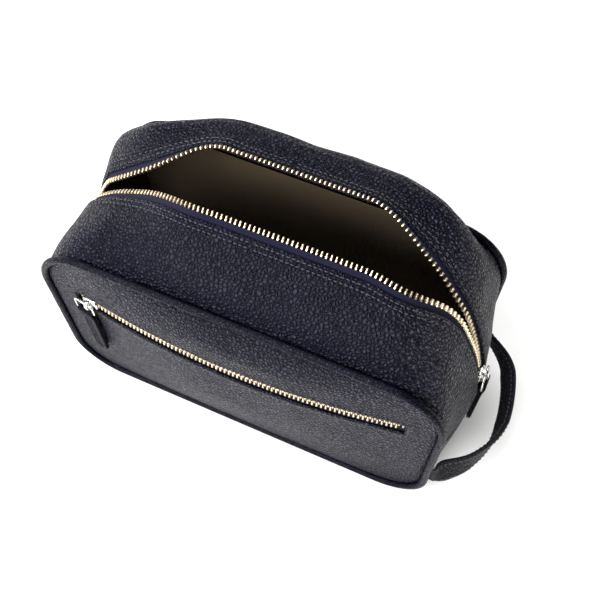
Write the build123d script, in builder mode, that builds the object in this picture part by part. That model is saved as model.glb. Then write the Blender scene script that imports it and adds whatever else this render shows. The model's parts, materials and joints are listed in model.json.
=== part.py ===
"""Shaving kit bag: a boxy leather wash bag with an arched top zip and a zipped front pocket.

Frame: +X towards the end with the side handle, -Y towards the front panel, +Z up.
The origin is the centre of the flat base. All sizes are millimetres.
"""
import math
import os

from build123d import *

os.makedirs("parts", exist_ok=True)

# ---------------------------------------------------------------- driving dimensions
LENGTH = 260.0            # between the piping centre lines of the two ends
DEPTH = 115.0             # between the front and back piping centre lines
HEIGHT = 149.0            # base to the piping centre line along the top
TOP_RADIUS = 38.0
BOTTOM_RADIUS = 22.0
PIPING_RADIUS = 2.4
LEATHER = 1.8
CLOTH = 0.8

CROWN = 10.0              # how far the panels swell beyond the piping
CROWN_HALF = 108.0        # half length of the swollen middle
POCKET_ZIP_Z = 104.0

TEETH_PITCH = 2.8
TEETH_REACH = 2.4         # across one row
TEETH_THICK = 2.8
TAPE = 0.5
CHAIN_DEPTH = 2.3         # tape middle below the leather's outer face

FRONT_TILT = 46.0         # how far each lip stands open, in degrees
BACK_TILT = 54.0
LIP_HALF = 72.0           # half length of the part of a lip that swings as one
FOLD_END = 100.0          # where the folds beside it meet the corners
LIP_START = 0.9           # clear of the piping as the lip swings
LEATHER_TO_ZIP = 6.5      # leather edge to the middle of the zip

HANDLE_Z = 50.0
HANDLE_WIDTH = 18.0
HANDLE_LAYER = 1.5

# ---------------------------------------------------------------- worked out from them
HALF = LENGTH / 2
SEAM_Y = DEPTH / 2
STRIP_Y = SEAM_Y - PIPING_RADIUS               # edge of the strip that closes the box
BASE_Z = PIPING_RADIUS                         # piping centre line along the base
CORNER_X = HALF - TOP_RADIUS
CORNER_Z = HEIGHT - TOP_RADIUS
FOOT_X = HALF - BOTTOM_RADIUS
FOOT_Z = BASE_Z + BOTTOM_RADIUS
LIP_WIDTH = STRIP_Y - 0.2                      # seam to the tips of the teeth

CROWN_RADIUS = (CROWN_HALF ** 2 + CROWN ** 2) / (2 * CROWN)
CROWN_CENTRE_Y = CROWN_RADIUS - CROWN - SEAM_Y
POCKET_CHAIN_RADIUS = CROWN_RADIUS - CHAIN_DEPTH
SLOT_HALF_LENGTH = 109.0
SLOT_HALF_HEIGHT = 5.6

# The middle line of each end follows a large circle, which the main zip runs along.
END_ARC_RADIUS = 117.0
END_ARC_X = 23.6
END_ARC_Z = 72.7
ZIP_END_Z = 78.0
TOP_SWELL = 1.6
SWELL_FOOT_Z = 10.0
SWELL_KNEE_Z = 62.0

MAIN_SLIDER_ANGLE = 10.0
POCKET_SLIDER_X = -99.5
POCKET_SLIDER_ANGLE = math.degrees(math.asin(POCKET_SLIDER_X / POCKET_CHAIN_RADIUS))

# slider and pull
SLIDER_LENGTH = 12.0
SLIDER_WIDTH = 9.0
PLATE_IN = 1.9
PLATE_OUT = 3.2
RING_RISE = 4.8           # ring bar above the middle of the chain
WIRE_RADIUS = 0.7
RING_WIDTH = 14.0
RING_LENGTH = 10.0
RING_BEND = 1.3
TAB_WIDTH = 11.6
TAB_LENGTH = 50.0
TAB_THICK = 2.6
TAB_EYE_RADIUS = 2.0


def save(piece, name):
    """Label one finished piece and write it."""
    piece.part.label = name
    export_step(piece.part, f"parts/{name}.step")


# ---------------------------------------------------------------- shape of the box
def swell_on_end(z):
    """How far the middle of an end stands out from the seam line at height z."""
    if z <= SWELL_FOOT_Z:
        return 0.0
    on_arc = END_ARC_X + math.sqrt(END_ARC_RADIUS ** 2 - (max(z, SWELL_KNEE_Z) - END_ARC_Z) ** 2) - HALF
    if z >= SWELL_KNEE_Z:
        return on_arc
    return on_arc * math.sin(math.pi / 2 * (z - SWELL_FOOT_Z) / (SWELL_KNEE_Z - SWELL_FOOT_Z)) ** 1.3


def swell_on_corner(angle):
    """The same round the top corner, at an angle from the horizontal in degrees."""
    nx = math.cos(math.radians(angle))
    nz = math.sin(math.radians(angle))
    dx = CORNER_X + TOP_RADIUS * nx - END_ARC_X
    dz = CORNER_Z + TOP_RADIUS * nz - END_ARC_Z
    along = dx * nx + dz * nz
    on_arc = math.sqrt(along ** 2 - dx ** 2 - dz ** 2 + END_ARC_RADIUS ** 2) - along
    return on_arc if angle <= 45 else TOP_SWELL


def fullness(y):
    """Share of the swell at a distance y from the middle of the strip."""
    return math.cos(math.pi / 2 * min(1.0, abs(y) / STRIP_Y))


def end_point(side, station, y, depth):
    """Point of an end's cross-section: ("end", z), ("corner", angle) or ("foot", angle)."""
    kind, value = station
    share = fullness(y)
    if kind == "end":
        return side * (HALF + share * swell_on_end(value) - depth), value
    angle = math.radians(value)
    if kind == "corner":
        reach = TOP_RADIUS + share * swell_on_corner(value) - depth
        return side * (CORNER_X + reach * math.cos(angle)), CORNER_Z + reach * math.sin(angle)
    reach = BOTTOM_RADIUS + share * swell_on_end(FOOT_Z) * math.cos(angle) - depth
    reach += BASE_Z * math.sin(angle) ** 2
    return side * (FOOT_X + reach * math.cos(angle)), FOOT_Z + reach * math.sin(angle)


def end_band(side, stations, across, outer, inner):
    """Curved sheet of an end, between two depths, through cross-sections at each y."""
    with BuildPart() as piece:
        for y in across:
            outside = [end_point(side, s, y, outer) for s in stations]
            inside = [end_point(side, s, y, inner) for s in stations]
            with BuildSketch(Plane.XZ.offset(-y)):
                with BuildLine():
                    Spline(*outside)
                    Line(outside[-1], inside[-1])
                    Spline(*reversed(inside))
                    Line(inside[0], outside[0])
                make_face()
        loft()
    return piece


def panel_sketch(y, inset):
    """Face of the panel outline on the plane at y, drawn in by an inset."""
    with BuildSketch(Plane.XZ.offset(-y)) as sketch:
        with BuildLine():
            half = HALF - inset
            top = HEIGHT - inset
            low = BASE_Z + inset
            upper = TOP_RADIUS - inset
            lower = BOTTOM_RADIUS - inset
            lean = math.sqrt(0.5)
            Line((-CORNER_X, top), (CORNER_X, top))
            ThreePointArc((CORNER_X, top), (CORNER_X + upper * lean, CORNER_Z + upper * lean), (half, CORNER_Z))
            Line((half, CORNER_Z), (half, FOOT_Z))
            ThreePointArc((half, FOOT_Z), (FOOT_X + lower * lean, FOOT_Z - lower * lean), (FOOT_X, low))
            Line((FOOT_X, low), (-FOOT_X, low))
            ThreePointArc((-FOOT_X, low), (-FOOT_X - lower * lean, FOOT_Z - lower * lean), (-half, FOOT_Z))
            Line((-half, FOOT_Z), (-half, CORNER_Z))
            ThreePointArc((-half, CORNER_Z), (-CORNER_X - upper * lean, CORNER_Z + upper * lean), (-CORNER_X, top))
        make_face()
    return sketch


def flat_sheet(y, thick, inset):
    """Flat sheet with the panel outline, from y towards the front."""
    with BuildPart() as piece:
        add(panel_sketch(y, inset).sketch)
        extrude(amount=thick, dir=(0, -1, 0))
    return piece


CROWN_SECTIONS = ((0.0, 0.4), (30.0, 6.5), (60.0, 9.4), (74.0, CROWN), (123.0, CROWN), (137.0, 5.0), (150.0, 0.4))


def crown_block(face_sign, shift):
    """Block behind the crowned outer face of a panel, moved inwards by a shift."""
    with BuildPart() as block:
        for z, rise in CROWN_SECTIONS:
            edge = SEAM_Y - shift
            with BuildSketch(Plane.XY.offset(z)):
                with BuildLine():
                    Line((-HALF, face_sign * edge), (-CROWN_HALF, face_sign * edge))
                    ThreePointArc(
                        (-CROWN_HALF, face_sign * edge),
                        (0, face_sign * (edge + rise)),
                        (CROWN_HALF, face_sign * edge),
                    )
                    Line((CROWN_HALF, face_sign * edge), (HALF, face_sign * edge))
                    Line((HALF, face_sign * edge), (HALF, face_sign * (edge - 12)))
                    Line((HALF, face_sign * (edge - 12)), (-HALF, face_sign * (edge - 12)))
                    Line((-HALF, face_sign * (edge - 12)), (-HALF, face_sign * edge))
                make_face()
        loft(ruled=True)
    return block


def crowned_panel(face_sign):
    """Leather panel of even thickness, flat along its seam and crowned in the middle."""
    near = face_sign * (SEAM_Y - LEATHER)
    with BuildPart() as piece:
        add(crown_block(face_sign, 0).part)
        add(crown_block(face_sign, LEATHER).part, mode=Mode.SUBTRACT)
        with BuildPart(mode=Mode.PRIVATE) as outline:
            add(panel_sketch(near, PIPING_RADIUS).sketch)
            extrude(amount=CROWN + 5, dir=(0, face_sign, 0))
        add(outline.part, mode=Mode.INTERSECT)
    return piece


# ---------------------------------------------------------------- panels and piping
front_panel = crowned_panel(-1)
with BuildPart() as front_panel_cut:
    add(front_panel.part)
    with BuildSketch(Plane.XZ.offset(SEAM_Y - 10)):
        with Locations((0, POCKET_ZIP_Z)):
            Rectangle(2 * SLOT_HALF_LENGTH, 2 * SLOT_HALF_HEIGHT)
    extrude(amount=30, mode=Mode.SUBTRACT)
save(front_panel_cut, "front_panel")

back_panel = crowned_panel(1)
save(back_panel, "back_panel")

for face_sign, name in ((-1, "front_piping"), (1, "back_piping")):
    with BuildPart() as piping:
        path = panel_sketch(face_sign * SEAM_Y, 0).sketch.faces()[0].outer_wire()
        with BuildSketch(Plane(origin=(0, face_sign * SEAM_Y, HEIGHT), z_dir=(1, 0, 0))):
            Circle(PIPING_RADIUS)
        sweep(path=path)
    save(piping, name)

# ---------------------------------------------------------------- base and ends
FOOT_STATIONS = [("end", ZIP_END_Z - 1), ("end", SWELL_KNEE_Z), ("end", 44.0), ("end", 32.0)]
FOOT_STATIONS += [("foot", 0.0), ("foot", -25.0), ("foot", -50.0), ("foot", -70.0), ("foot", -90.0)]
CORNER_STATIONS = [("end", ZIP_END_Z), ("end", 88.0), ("end", 99.0), ("corner", 0.0), ("corner", 15.0)]
CORNER_STATIONS += [("corner", 30.0), ("corner", 45.0), ("corner", 60.0), ("corner", 77.8)]
FULL_ACROSS = (-STRIP_Y, -STRIP_Y / 2, 0.0, STRIP_Y / 2, STRIP_Y)
LINING_OUTER = 2.9
LINING_Y = STRIP_Y - 3.2

with BuildPart() as base_panel:
    with Locations((0, 0, LEATHER / 2)):
        Box(2 * FOOT_X - 0.4, 2 * STRIP_Y, LEATHER)
save(base_panel, "base_panel")

with BuildPart() as base_board:
    with Locations((0, 0, LEATHER + 1.2)):
        Box(2 * FOOT_X - 2, 2 * LINING_Y, 1.8)
    fillet(base_board.edges().filter_by(Axis.Z), 5)
save(base_board, "base_board")

with BuildPart() as base_lining:
    with Locations((0, 0, LEATHER + 2.8)):
        Box(2 * FOOT_X - 4, 2 * LINING_Y, CLOTH)
save(base_lining, "base_lining")

for side, name in ((-1, "left"), (1, "right")):
    save(end_band(side, FOOT_STATIONS, FULL_ACROSS, 0, LEATHER), f"{name}_end_gusset")
    lining_across = (-LINING_Y, -LINING_Y / 2, 0.0, LINING_Y / 2, LINING_Y)
    save(end_band(side, FOOT_STATIONS[:-1], lining_across, LINING_OUTER, LINING_OUTER + CLOTH), f"{name}_end_lining")

# ---------------------------------------------------------------- inner sheets
POCKET_BACK_Y = -(STRIP_Y - 3.6)
with BuildPart() as pocket_pouch:
    with BuildSketch(Plane.XZ.offset(-POCKET_BACK_Y)):
        with Locations((0, (22 + POCKET_ZIP_Z + 16) / 2)):
            RectangleRounded(2 * SLOT_HALF_LENGTH + 10, POCKET_ZIP_Z + 16 - 22, 8)
    extrude(amount=CLOTH)
save(pocket_pouch, "pocket_pouch")

BOARD = 1.2
save(flat_sheet(-STRIP_Y + 5.0, BOARD, 6.5), "front_stiffener")
save(flat_sheet(-STRIP_Y + 6.0, CLOTH, 5.5), "front_lining")
save(flat_sheet(STRIP_Y - 1.2, BOARD, 6.5), "back_stiffener")
save(flat_sheet(STRIP_Y - 2.6, CLOTH, 5.5), "back_lining")

# ---------------------------------------------------------------- top strip: ends and corners
TAPE_HALF = 15.0
for face_sign, face in ((-1, "front"), (1, "back")):
    leather_across = [face_sign * y for y in (STRIP_Y, 38.0, 22.0, LEATHER_TO_ZIP)]
    tape_across = [face_sign * y for y in (TAPE_HALF, 8.0, 3.2)]
    lining_across = [face_sign * y for y in (LINING_Y, 34.0, 11.0)]
    for side, name in ((-1, "left"), (1, "right")):
        strip = end_band(side, CORNER_STATIONS, leather_across, 0, LEATHER)
        save(strip, f"{face}_strip_{name}_end")
    with BuildPart() as tape_ends:
        for side in (-1, 1):
            tape_in = CHAIN_DEPTH + TAPE / 2
            tape_out = CHAIN_DEPTH - TAPE / 2
            add(end_band(side, CORNER_STATIONS, tape_across, tape_out, tape_in).part)
    save(tape_ends, f"{face}_tape_ends")
    with BuildPart() as end_linings:
        for side in (-1, 1):
            add(end_band(side, CORNER_STATIONS, lining_across, LINING_OUTER, LINING_OUTER + CLOTH).part)
    save(end_linings, f"{face}_strip_end_linings")


# ---------------------------------------------------------------- top strip: lips and folds
def lip_plane(face_sign, x, tilt):
    """Plane at the seam: X along the bag, Y across the strip to the zip, Z out of the leather."""
    lean = math.radians(tilt)
    return Plane(
        origin=(x, face_sign * STRIP_Y, HEIGHT),
        x_dir=(-face_sign, 0, 0),
        z_dir=(0, face_sign * math.sin(lean), math.cos(lean)),
    )


def lip_tilt(x, tilt):
    """Tilt of the strip at x: full over the swinging part and none at the corners."""
    share = (FOLD_END - abs(x)) / (FOLD_END - LIP_HALF)
    share = min(1.0, max(0.0, share))
    return tilt * share * share * (3 - 2 * share)


def corner_drop(x):
    """How far the seam line has dropped at x where it turns into the corner."""
    over = max(0.0, abs(x) - CORNER_X)
    return TOP_RADIUS - math.sqrt(TOP_RADIUS ** 2 - over ** 2)


def lip_sheet(face_sign, tilt, start, end, outer, inner):
    """Flat sheet of the swinging part of a lip, between two places across and two depths."""
    with BuildPart() as piece:
        with BuildSketch(lip_plane(face_sign, 0, tilt).offset(-inner)):
            with Locations((0, (start + end) / 2)):
                Rectangle(2 * LIP_HALF - 0.8, end - start)
        extrude(amount=inner - outer)
    return piece


def lip_folds(face_sign, tilt, start, end, outer, inner):
    """The two twisted stretches of a sheet between the swinging part and the corners."""
    with BuildPart() as piece:
        for side in (-1, 1):
            with BuildPart(mode=Mode.PRIVATE) as fold:
                for step in range(8):
                    x = LIP_HALF + (FOLD_END - 0.6 - LIP_HALF) * step / 7
                    across = lip_plane(face_sign, side * x, lip_tilt(x, tilt))
                    seam = across.origin - Vector(0, 0, corner_drop(x))
                    section = Plane(origin=seam, x_dir=across.y_dir, z_dir=(side, 0, 0))
                    low = -outer if section.y_dir.Z > 0 else inner
                    high = -inner if section.y_dir.Z > 0 else outer
                    with BuildSketch(section):
                        with Locations(((start + end) / 2, (low + high) / 2)):
                            Rectangle(end - start, inner - outer)
                loft(ruled=True)
            add(fold.part)
    return piece


def tooth_planes(face_sign, tilt, first, last):
    """Planes of one row's teeth between two places along the bag, offset by half a pitch at the back."""
    planes = []
    count = int((last - first) / TEETH_PITCH)
    shift = TEETH_PITCH / 2 if face_sign > 0 else 0.0
    for number in range(count):
        x = first + TEETH_PITCH / 2 + number * TEETH_PITCH + shift
        plane = lip_plane(face_sign, x, lip_tilt(x, tilt))
        plane.origin = plane.origin - Vector(0, 0, corner_drop(x))
        planes.append(plane)
    return planes


def tooth_row(planes):
    """Group of teeth, each clamped on the edge of the tape."""
    with BuildPart() as piece:
        for plane in planes:
            with Locations(plane):
                with Locations((0, LIP_WIDTH - TEETH_REACH / 2, -CHAIN_DEPTH)):
                    Box(TEETH_PITCH / 2, TEETH_REACH, TEETH_THICK)
    return piece


TAPE_START = STRIP_Y - TAPE_HALF
TAPE_END = LIP_WIDTH - TEETH_REACH - 0.1
TAPE_OUT = CHAIN_DEPTH - TAPE / 2
TAPE_IN = CHAIN_DEPTH + TAPE / 2
LEATHER_END = STRIP_Y - LEATHER_TO_ZIP
LIP_LINING_END = STRIP_Y - 11

for face_sign, face, tilt in ((-1, "front", FRONT_TILT), (1, "back", BACK_TILT)):
    save(lip_sheet(face_sign, tilt, LIP_START, LEATHER_END, 0, LEATHER), f"{face}_lip")
    save(lip_sheet(face_sign, tilt, TAPE_START, TAPE_END, TAPE_OUT, TAPE_IN), f"{face}_lip_tape")
    lining = lip_sheet(face_sign, tilt, 4.5, LIP_LINING_END, LINING_OUTER, LINING_OUTER + CLOTH)
    save(lining, f"{face}_lip_lining")
    save(lip_folds(face_sign, tilt, LIP_START, LEATHER_END, 0, LEATHER), f"{face}_strip_folds")
    save(lip_folds(face_sign, tilt, TAPE_START, TAPE_END, TAPE_OUT, TAPE_IN), f"{face}_tape_folds")
    save(tooth_row(tooth_planes(face_sign, tilt, -LIP_HALF + 1, LIP_HALF - 1)), f"{face}_lip_teeth")
    folds = tooth_planes(face_sign, tilt, -FOLD_END + 2, -LIP_HALF - 1)
    folds += tooth_planes(face_sign, tilt, LIP_HALF + 1, FOLD_END - 2)
    save(tooth_row(folds), f"{face}_teeth_folds")


# ---------------------------------------------------------------- main zip round the corners
def end_chain_plane(side, angle, y):
    """Plane on the zip's circle at an end: X up along the zip, Y across the bag, Z outwards."""
    lean = math.radians(angle)
    radius = END_ARC_RADIUS - CHAIN_DEPTH
    return Plane(
        origin=(side * (END_ARC_X + radius * math.cos(lean)), y, END_ARC_Z + radius * math.sin(lean)),
        x_dir=(-side * math.sin(lean), 0, math.cos(lean)),
        z_dir=(side * math.cos(lean), 0, math.sin(lean)),
    )


CHAIN_FIRST_ANGLE = 4.8
CHAIN_LAST_ANGLE = 36.0
PITCH_ANGLE = math.degrees(TEETH_PITCH / (END_ARC_RADIUS - CHAIN_DEPTH))
POST_CLEARANCE = 1.0
for face_sign, face in ((-1, "front"), (1, "back")):
    with BuildPart() as teeth_ends:
        for side in (-1, 1):
            shift = PITCH_ANGLE / 2 if face_sign > 0 else 0.0
            for number in range(int((CHAIN_LAST_ANGLE - CHAIN_FIRST_ANGLE) / PITCH_ANGLE)):
                angle = CHAIN_FIRST_ANGLE + shift + number * PITCH_ANGLE
                ahead = math.radians(angle - MAIN_SLIDER_ANGLE) * END_ARC_RADIUS
                beside_post = side > 0 and POST_CLEARANCE < ahead < SLIDER_LENGTH / 2 + 1
                if not beside_post:
                    with Locations(end_chain_plane(side, angle, face_sign * (0.2 + TEETH_REACH / 2))):
                        Box(TEETH_PITCH / 2, TEETH_REACH, TEETH_THICK)
    save(teeth_ends, f"{face}_teeth_ends")

STOP_ANGLE = 3.4
with BuildPart() as bottom_stop:
    with Locations(end_chain_plane(1, STOP_ANGLE, 0)):
        Box(2.2, 5.8, 3.0)
    fillet(bottom_stop.edges().filter_by(Axis.Y, reverse=True).sort_by(Axis.X)[-2:], 0.4)
save(bottom_stop, "main_zip_bottom_stop")

with BuildPart() as top_stops:
    for face_sign in (-1, 1):
        with Locations(end_chain_plane(-1, STOP_ANGLE, face_sign * 1.6)):
            Box(2.0, 2.6, 3.0)
save(top_stops, "main_zip_top_stops")


# ---------------------------------------------------------------- pocket zip
def pocket_plane(angle, z, rise):
    """Plane on the pocket zip's arc: X along the zip to the right, Y up, Z outwards."""
    lean = math.radians(angle)
    radius = POCKET_CHAIN_RADIUS + rise
    return Plane(
        origin=(radius * math.sin(lean), CROWN_CENTRE_Y - radius * math.cos(lean), z),
        x_dir=(math.cos(lean), math.sin(lean), 0),
        z_dir=(math.sin(lean), -math.cos(lean), 0),
    )


def pocket_tape(low, high):
    """Tape that follows the crown, between two heights."""
    span = math.degrees(math.asin((SLOT_HALF_LENGTH + 3) / POCKET_CHAIN_RADIUS))
    inner = POCKET_CHAIN_RADIUS - TAPE / 2
    outer = POCKET_CHAIN_RADIUS + TAPE / 2
    with BuildPart() as piece:
        with BuildSketch(Plane.XY.offset(low)):
            with BuildLine():
                near = CenterArc((0, CROWN_CENTRE_Y), outer, 270 - span, 2 * span)
                far = CenterArc((0, CROWN_CENTRE_Y), inner, 270 - span, 2 * span)
                Line(near @ 0, far @ 0)
                Line(near @ 1, far @ 1)
            make_face()
        extrude(amount=high - low)
    return piece


POCKET_TAPE_HALF = 12.0
save(pocket_tape(POCKET_ZIP_Z + TEETH_REACH + 0.3, POCKET_ZIP_Z + POCKET_TAPE_HALF), "pocket_upper_tape")
save(pocket_tape(POCKET_ZIP_Z - POCKET_TAPE_HALF, POCKET_ZIP_Z - TEETH_REACH - 0.3), "pocket_lower_tape")

POCKET_PITCH_ANGLE = math.degrees(TEETH_PITCH / POCKET_CHAIN_RADIUS)
POCKET_SPAN_ANGLE = math.degrees(math.asin((SLOT_HALF_LENGTH - 4) / POCKET_CHAIN_RADIUS))
for row_sign, row in ((1, "upper"), (-1, "lower")):
    with BuildPart() as pocket_teeth:
        shift = POCKET_PITCH_ANGLE / 2 if row_sign > 0 else 0.0
        for number in range(int(2 * POCKET_SPAN_ANGLE / POCKET_PITCH_ANGLE)):
            angle = shift + number * POCKET_PITCH_ANGLE - POCKET_SPAN_ANGLE
            ahead = math.radians(angle - POCKET_SLIDER_ANGLE) * POCKET_CHAIN_RADIUS
            if ahead > -POST_CLEARANCE:
                height = POCKET_ZIP_Z + row_sign * (0.2 + TEETH_REACH / 2)
                with Locations(pocket_plane(angle, height, 0)):
                    Box(TEETH_PITCH / 2, TEETH_REACH, TEETH_THICK)
    save(pocket_teeth, f"pocket_{row}_teeth")

with BuildPart() as pocket_stops:
    for stop_sign in (-1, 1):
        stop_angle = math.degrees(math.asin(stop_sign * (SLOT_HALF_LENGTH - 1.6) / POCKET_CHAIN_RADIUS))
        with Locations(pocket_plane(stop_angle, POCKET_ZIP_Z, 0)):
            Box(2.0, 5.2, 3.0)
save(pocket_stops, "pocket_zip_stops")


# ---------------------------------------------------------------- sliders and pulls
def place(shape, plane):
    """A finished shape moved from its own frame onto a plane."""
    with BuildPart() as placed:
        with Locations(plane):
            add(shape)
    return placed


def slider_body(nose, bridge_along):
    """Two plates, side flanges, wedge post and bridge; nose is the side with the post."""
    with BuildPart() as piece:
        for level in (-PLATE_OUT, PLATE_IN):
            with BuildSketch(Plane.XY.offset(level)):
                with BuildLine():
                    wide = SLIDER_WIDTH / 2
                    slim = SLIDER_WIDTH / 2 - 0.8
                    length = SLIDER_LENGTH / 2
                    Polyline(
                        (nose * length, -wide + 1.6),
                        (nose * length, wide - 1.6),
                        (nose * (length - 3), wide),
                        (-nose * length, slim),
                        (-nose * length, -slim),
                        (nose * (length - 3), -wide),
                        close=True,
                    )
                make_face()
            extrude(amount=PLATE_OUT - PLATE_IN)
        for edge_sign in (-1, 1):
            for low, high in ((-PLATE_IN, -0.9), (0.9, PLATE_IN)):
                with Locations((-nose * 1.5, edge_sign * 3.5, (low + high) / 2)):
                    Box(SLIDER_LENGTH - 4.5, 0.5, high - low + 0.1)
        with Locations((nose * 3.6, 0, 0)):
            Box(2.6, 1.8, 2 * PLATE_IN + 0.2)
        run, width = (8.4, 2.4) if bridge_along else (2.4, 8.2)
        with Locations((0, 0, PLATE_OUT + 2.0)):
            Box(run, width, 4.2)
        gap_run, gap_width = (5.6, 4.0) if bridge_along else (4.0, 5.6)
        with Locations((0, 0, RING_RISE)):
            Box(gap_run, gap_width, 2.8, mode=Mode.SUBTRACT)
    return piece


def pull_ring(shift):
    """Wire ring hanging from its top bar; X along the bar, Y up, Z outwards."""
    left = shift - RING_WIDTH / 2
    right = shift + RING_WIDTH / 2
    bend = RING_BEND
    lean = math.sqrt(0.5) * bend
    with BuildPart() as piece:
        with BuildLine() as loop:
            Line((shift, 0), (right - bend, 0))
            ThreePointArc((right - bend, 0), (right - bend + lean, lean - bend), (right, -bend))
            Line((right, -bend), (right, bend - RING_LENGTH))
            ThreePointArc(
                (right, bend - RING_LENGTH),
                (right - bend + lean, bend - lean - RING_LENGTH),
                (right - bend, -RING_LENGTH),
            )
            Line((right - bend, -RING_LENGTH), (left + bend, -RING_LENGTH))
            ThreePointArc(
                (left + bend, -RING_LENGTH),
                (left + bend - lean, bend - lean - RING_LENGTH),
                (left, bend - RING_LENGTH),
            )
            Line((left, bend - RING_LENGTH), (left, -bend))
            ThreePointArc((left, -bend), (left + bend - lean, lean - bend), (left + bend, 0))
            Line((left + bend, 0), (shift, 0))
        with BuildSketch(Plane(origin=(shift, 0, 0), z_dir=(1, 0, 0))):
            Circle(WIRE_RADIUS)
        sweep(path=loop.wires()[0])
    return piece


def pull_tab(shift):
    """Leather tab folded round the ring's lower bar; X along the bar, Y up, Z outwards."""
    with BuildPart() as piece:
        with Locations((shift, -TAB_LENGTH / 2, 0)):
            Box(TAB_WIDTH, TAB_LENGTH, TAB_THICK)
        fillet(piece.edges().filter_by(Axis.Z).sort_by(Axis.Y)[:2], 3.5)
        with BuildSketch(Plane.YZ.offset(shift - TAB_WIDTH / 2)):
            Circle(TAB_EYE_RADIUS)
        extrude(amount=TAB_WIDTH)
        with BuildSketch(Plane.YZ.offset(shift - TAB_WIDTH / 2 - 1)):
            Circle(WIRE_RADIUS + 0.3)
        extrude(amount=TAB_WIDTH + 2, mode=Mode.SUBTRACT)
    return piece


RING_LEAN = 7.0           # the ring of the main zip follows the swell of the end
main_plane = end_chain_plane(1, MAIN_SLIDER_ANGLE, 0)
main_bar = main_plane.origin + main_plane.z_dir * RING_RISE
lean = math.radians(RING_LEAN)
main_ring_plane = Plane(origin=main_bar, x_dir=(0, 1, 0), z_dir=(math.cos(lean), 0, math.sin(lean)))
main_eye = main_bar - main_ring_plane.y_dir * RING_LENGTH
main_tab_plane = Plane(origin=main_eye, x_dir=(0, 1, 0), z_dir=(1, 0, 0))
save(place(slider_body(1, True).part, main_plane), "main_slider")
save(place(pull_ring(0).part, main_ring_plane), "main_pull_ring")
save(place(pull_tab(0).part, main_tab_plane), "main_pull_tab")

POCKET_RING_SHIFT = -4.0
pocket_slider_plane = pocket_plane(POCKET_SLIDER_ANGLE, POCKET_ZIP_Z, 0)
pocket_bar = pocket_slider_plane.origin + pocket_slider_plane.z_dir * RING_RISE
pocket_ring_plane = Plane(
    origin=pocket_bar,
    x_dir=pocket_slider_plane.x_dir,
    z_dir=pocket_slider_plane.z_dir,
)
pocket_eye = pocket_bar - pocket_ring_plane.y_dir * RING_LENGTH
pocket_tab_plane = Plane(origin=pocket_eye, x_dir=pocket_ring_plane.x_dir, z_dir=pocket_ring_plane.z_dir)
save(place(slider_body(-1, False).part, pocket_slider_plane), "pocket_slider")
save(place(pull_ring(POCKET_RING_SHIFT).part, pocket_ring_plane), "pocket_pull_ring")
save(place(pull_tab(POCKET_RING_SHIFT).part, pocket_tab_plane), "pocket_pull_tab")


# ---------------------------------------------------------------- side handle
HANDLE_ROUTE = [(141.8, -57.0), (152.5, -50.0), (164.0, -27.0), (168.0, 3.0), (161.0, 34.0), (142.0, 56.0)]


def corner_radii(points):
    """Radius of the arc at each inner point: as large as its two runs allow."""
    radii = []
    for before, here, after in zip(points, points[1:], points[2:]):
        first = Vector(*here) - Vector(*before)
        second = Vector(*after) - Vector(*here)
        turn = math.radians(first.get_angle(second))
        radii.append(0.45 * min(first.length, second.length) / math.tan(turn / 2))
    return radii


for layer, name in ((0.5, "handle_strap_outer"), (-0.5, "handle_strap_inner")):
    with BuildPart() as strap:
        with BuildLine(Plane.XY.offset(HANDLE_Z)) as route:
            FilletPolyline(*HANDLE_ROUTE, radius=corner_radii(HANDLE_ROUTE))
        run = route.wires()[0]
        side_way = (run % 0).cross(Vector(0, 0, 1))
        with BuildSketch(Plane(origin=run @ 0, x_dir=side_way, z_dir=run % 0)):
            with Locations((layer * HANDLE_LAYER, 0)):
                Rectangle(HANDLE_LAYER, HANDLE_WIDTH)
        sweep(path=run)
    save(strap, name)

ANCHOR_REACH = 4.6
for face_sign, name in ((-1, "handle_front_anchor"), (1, "handle_back_anchor")):
    with BuildPart() as anchor:
        anchor_x = HALF + PIPING_RADIUS + 0.05
        with Locations((anchor_x + ANCHOR_REACH / 2, face_sign * 57.0, HANDLE_Z)):
            Box(ANCHOR_REACH, 3.0, 12.0)
    save(anchor, name)

print("crown centre y", round(CROWN_CENTRE_Y, 3), "chain radius", round(POCKET_CHAIN_RADIUS, 3))
print("pocket slider angle", round(POCKET_SLIDER_ANGLE, 3))
for label, point in (
    ("main bar", main_bar),
    ("main eye", main_eye),
    ("pocket bar", pocket_bar),
    ("pocket eye", pocket_eye),
):
    print(label, [round(value, 3) for value in point])
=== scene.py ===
"""Looks of the shaving kit bag: pebbled leather, metal zips, piping, lining and a side strap."""
import json
import math

import bmesh
import bpy
import numpy as np
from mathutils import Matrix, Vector, noise

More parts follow.
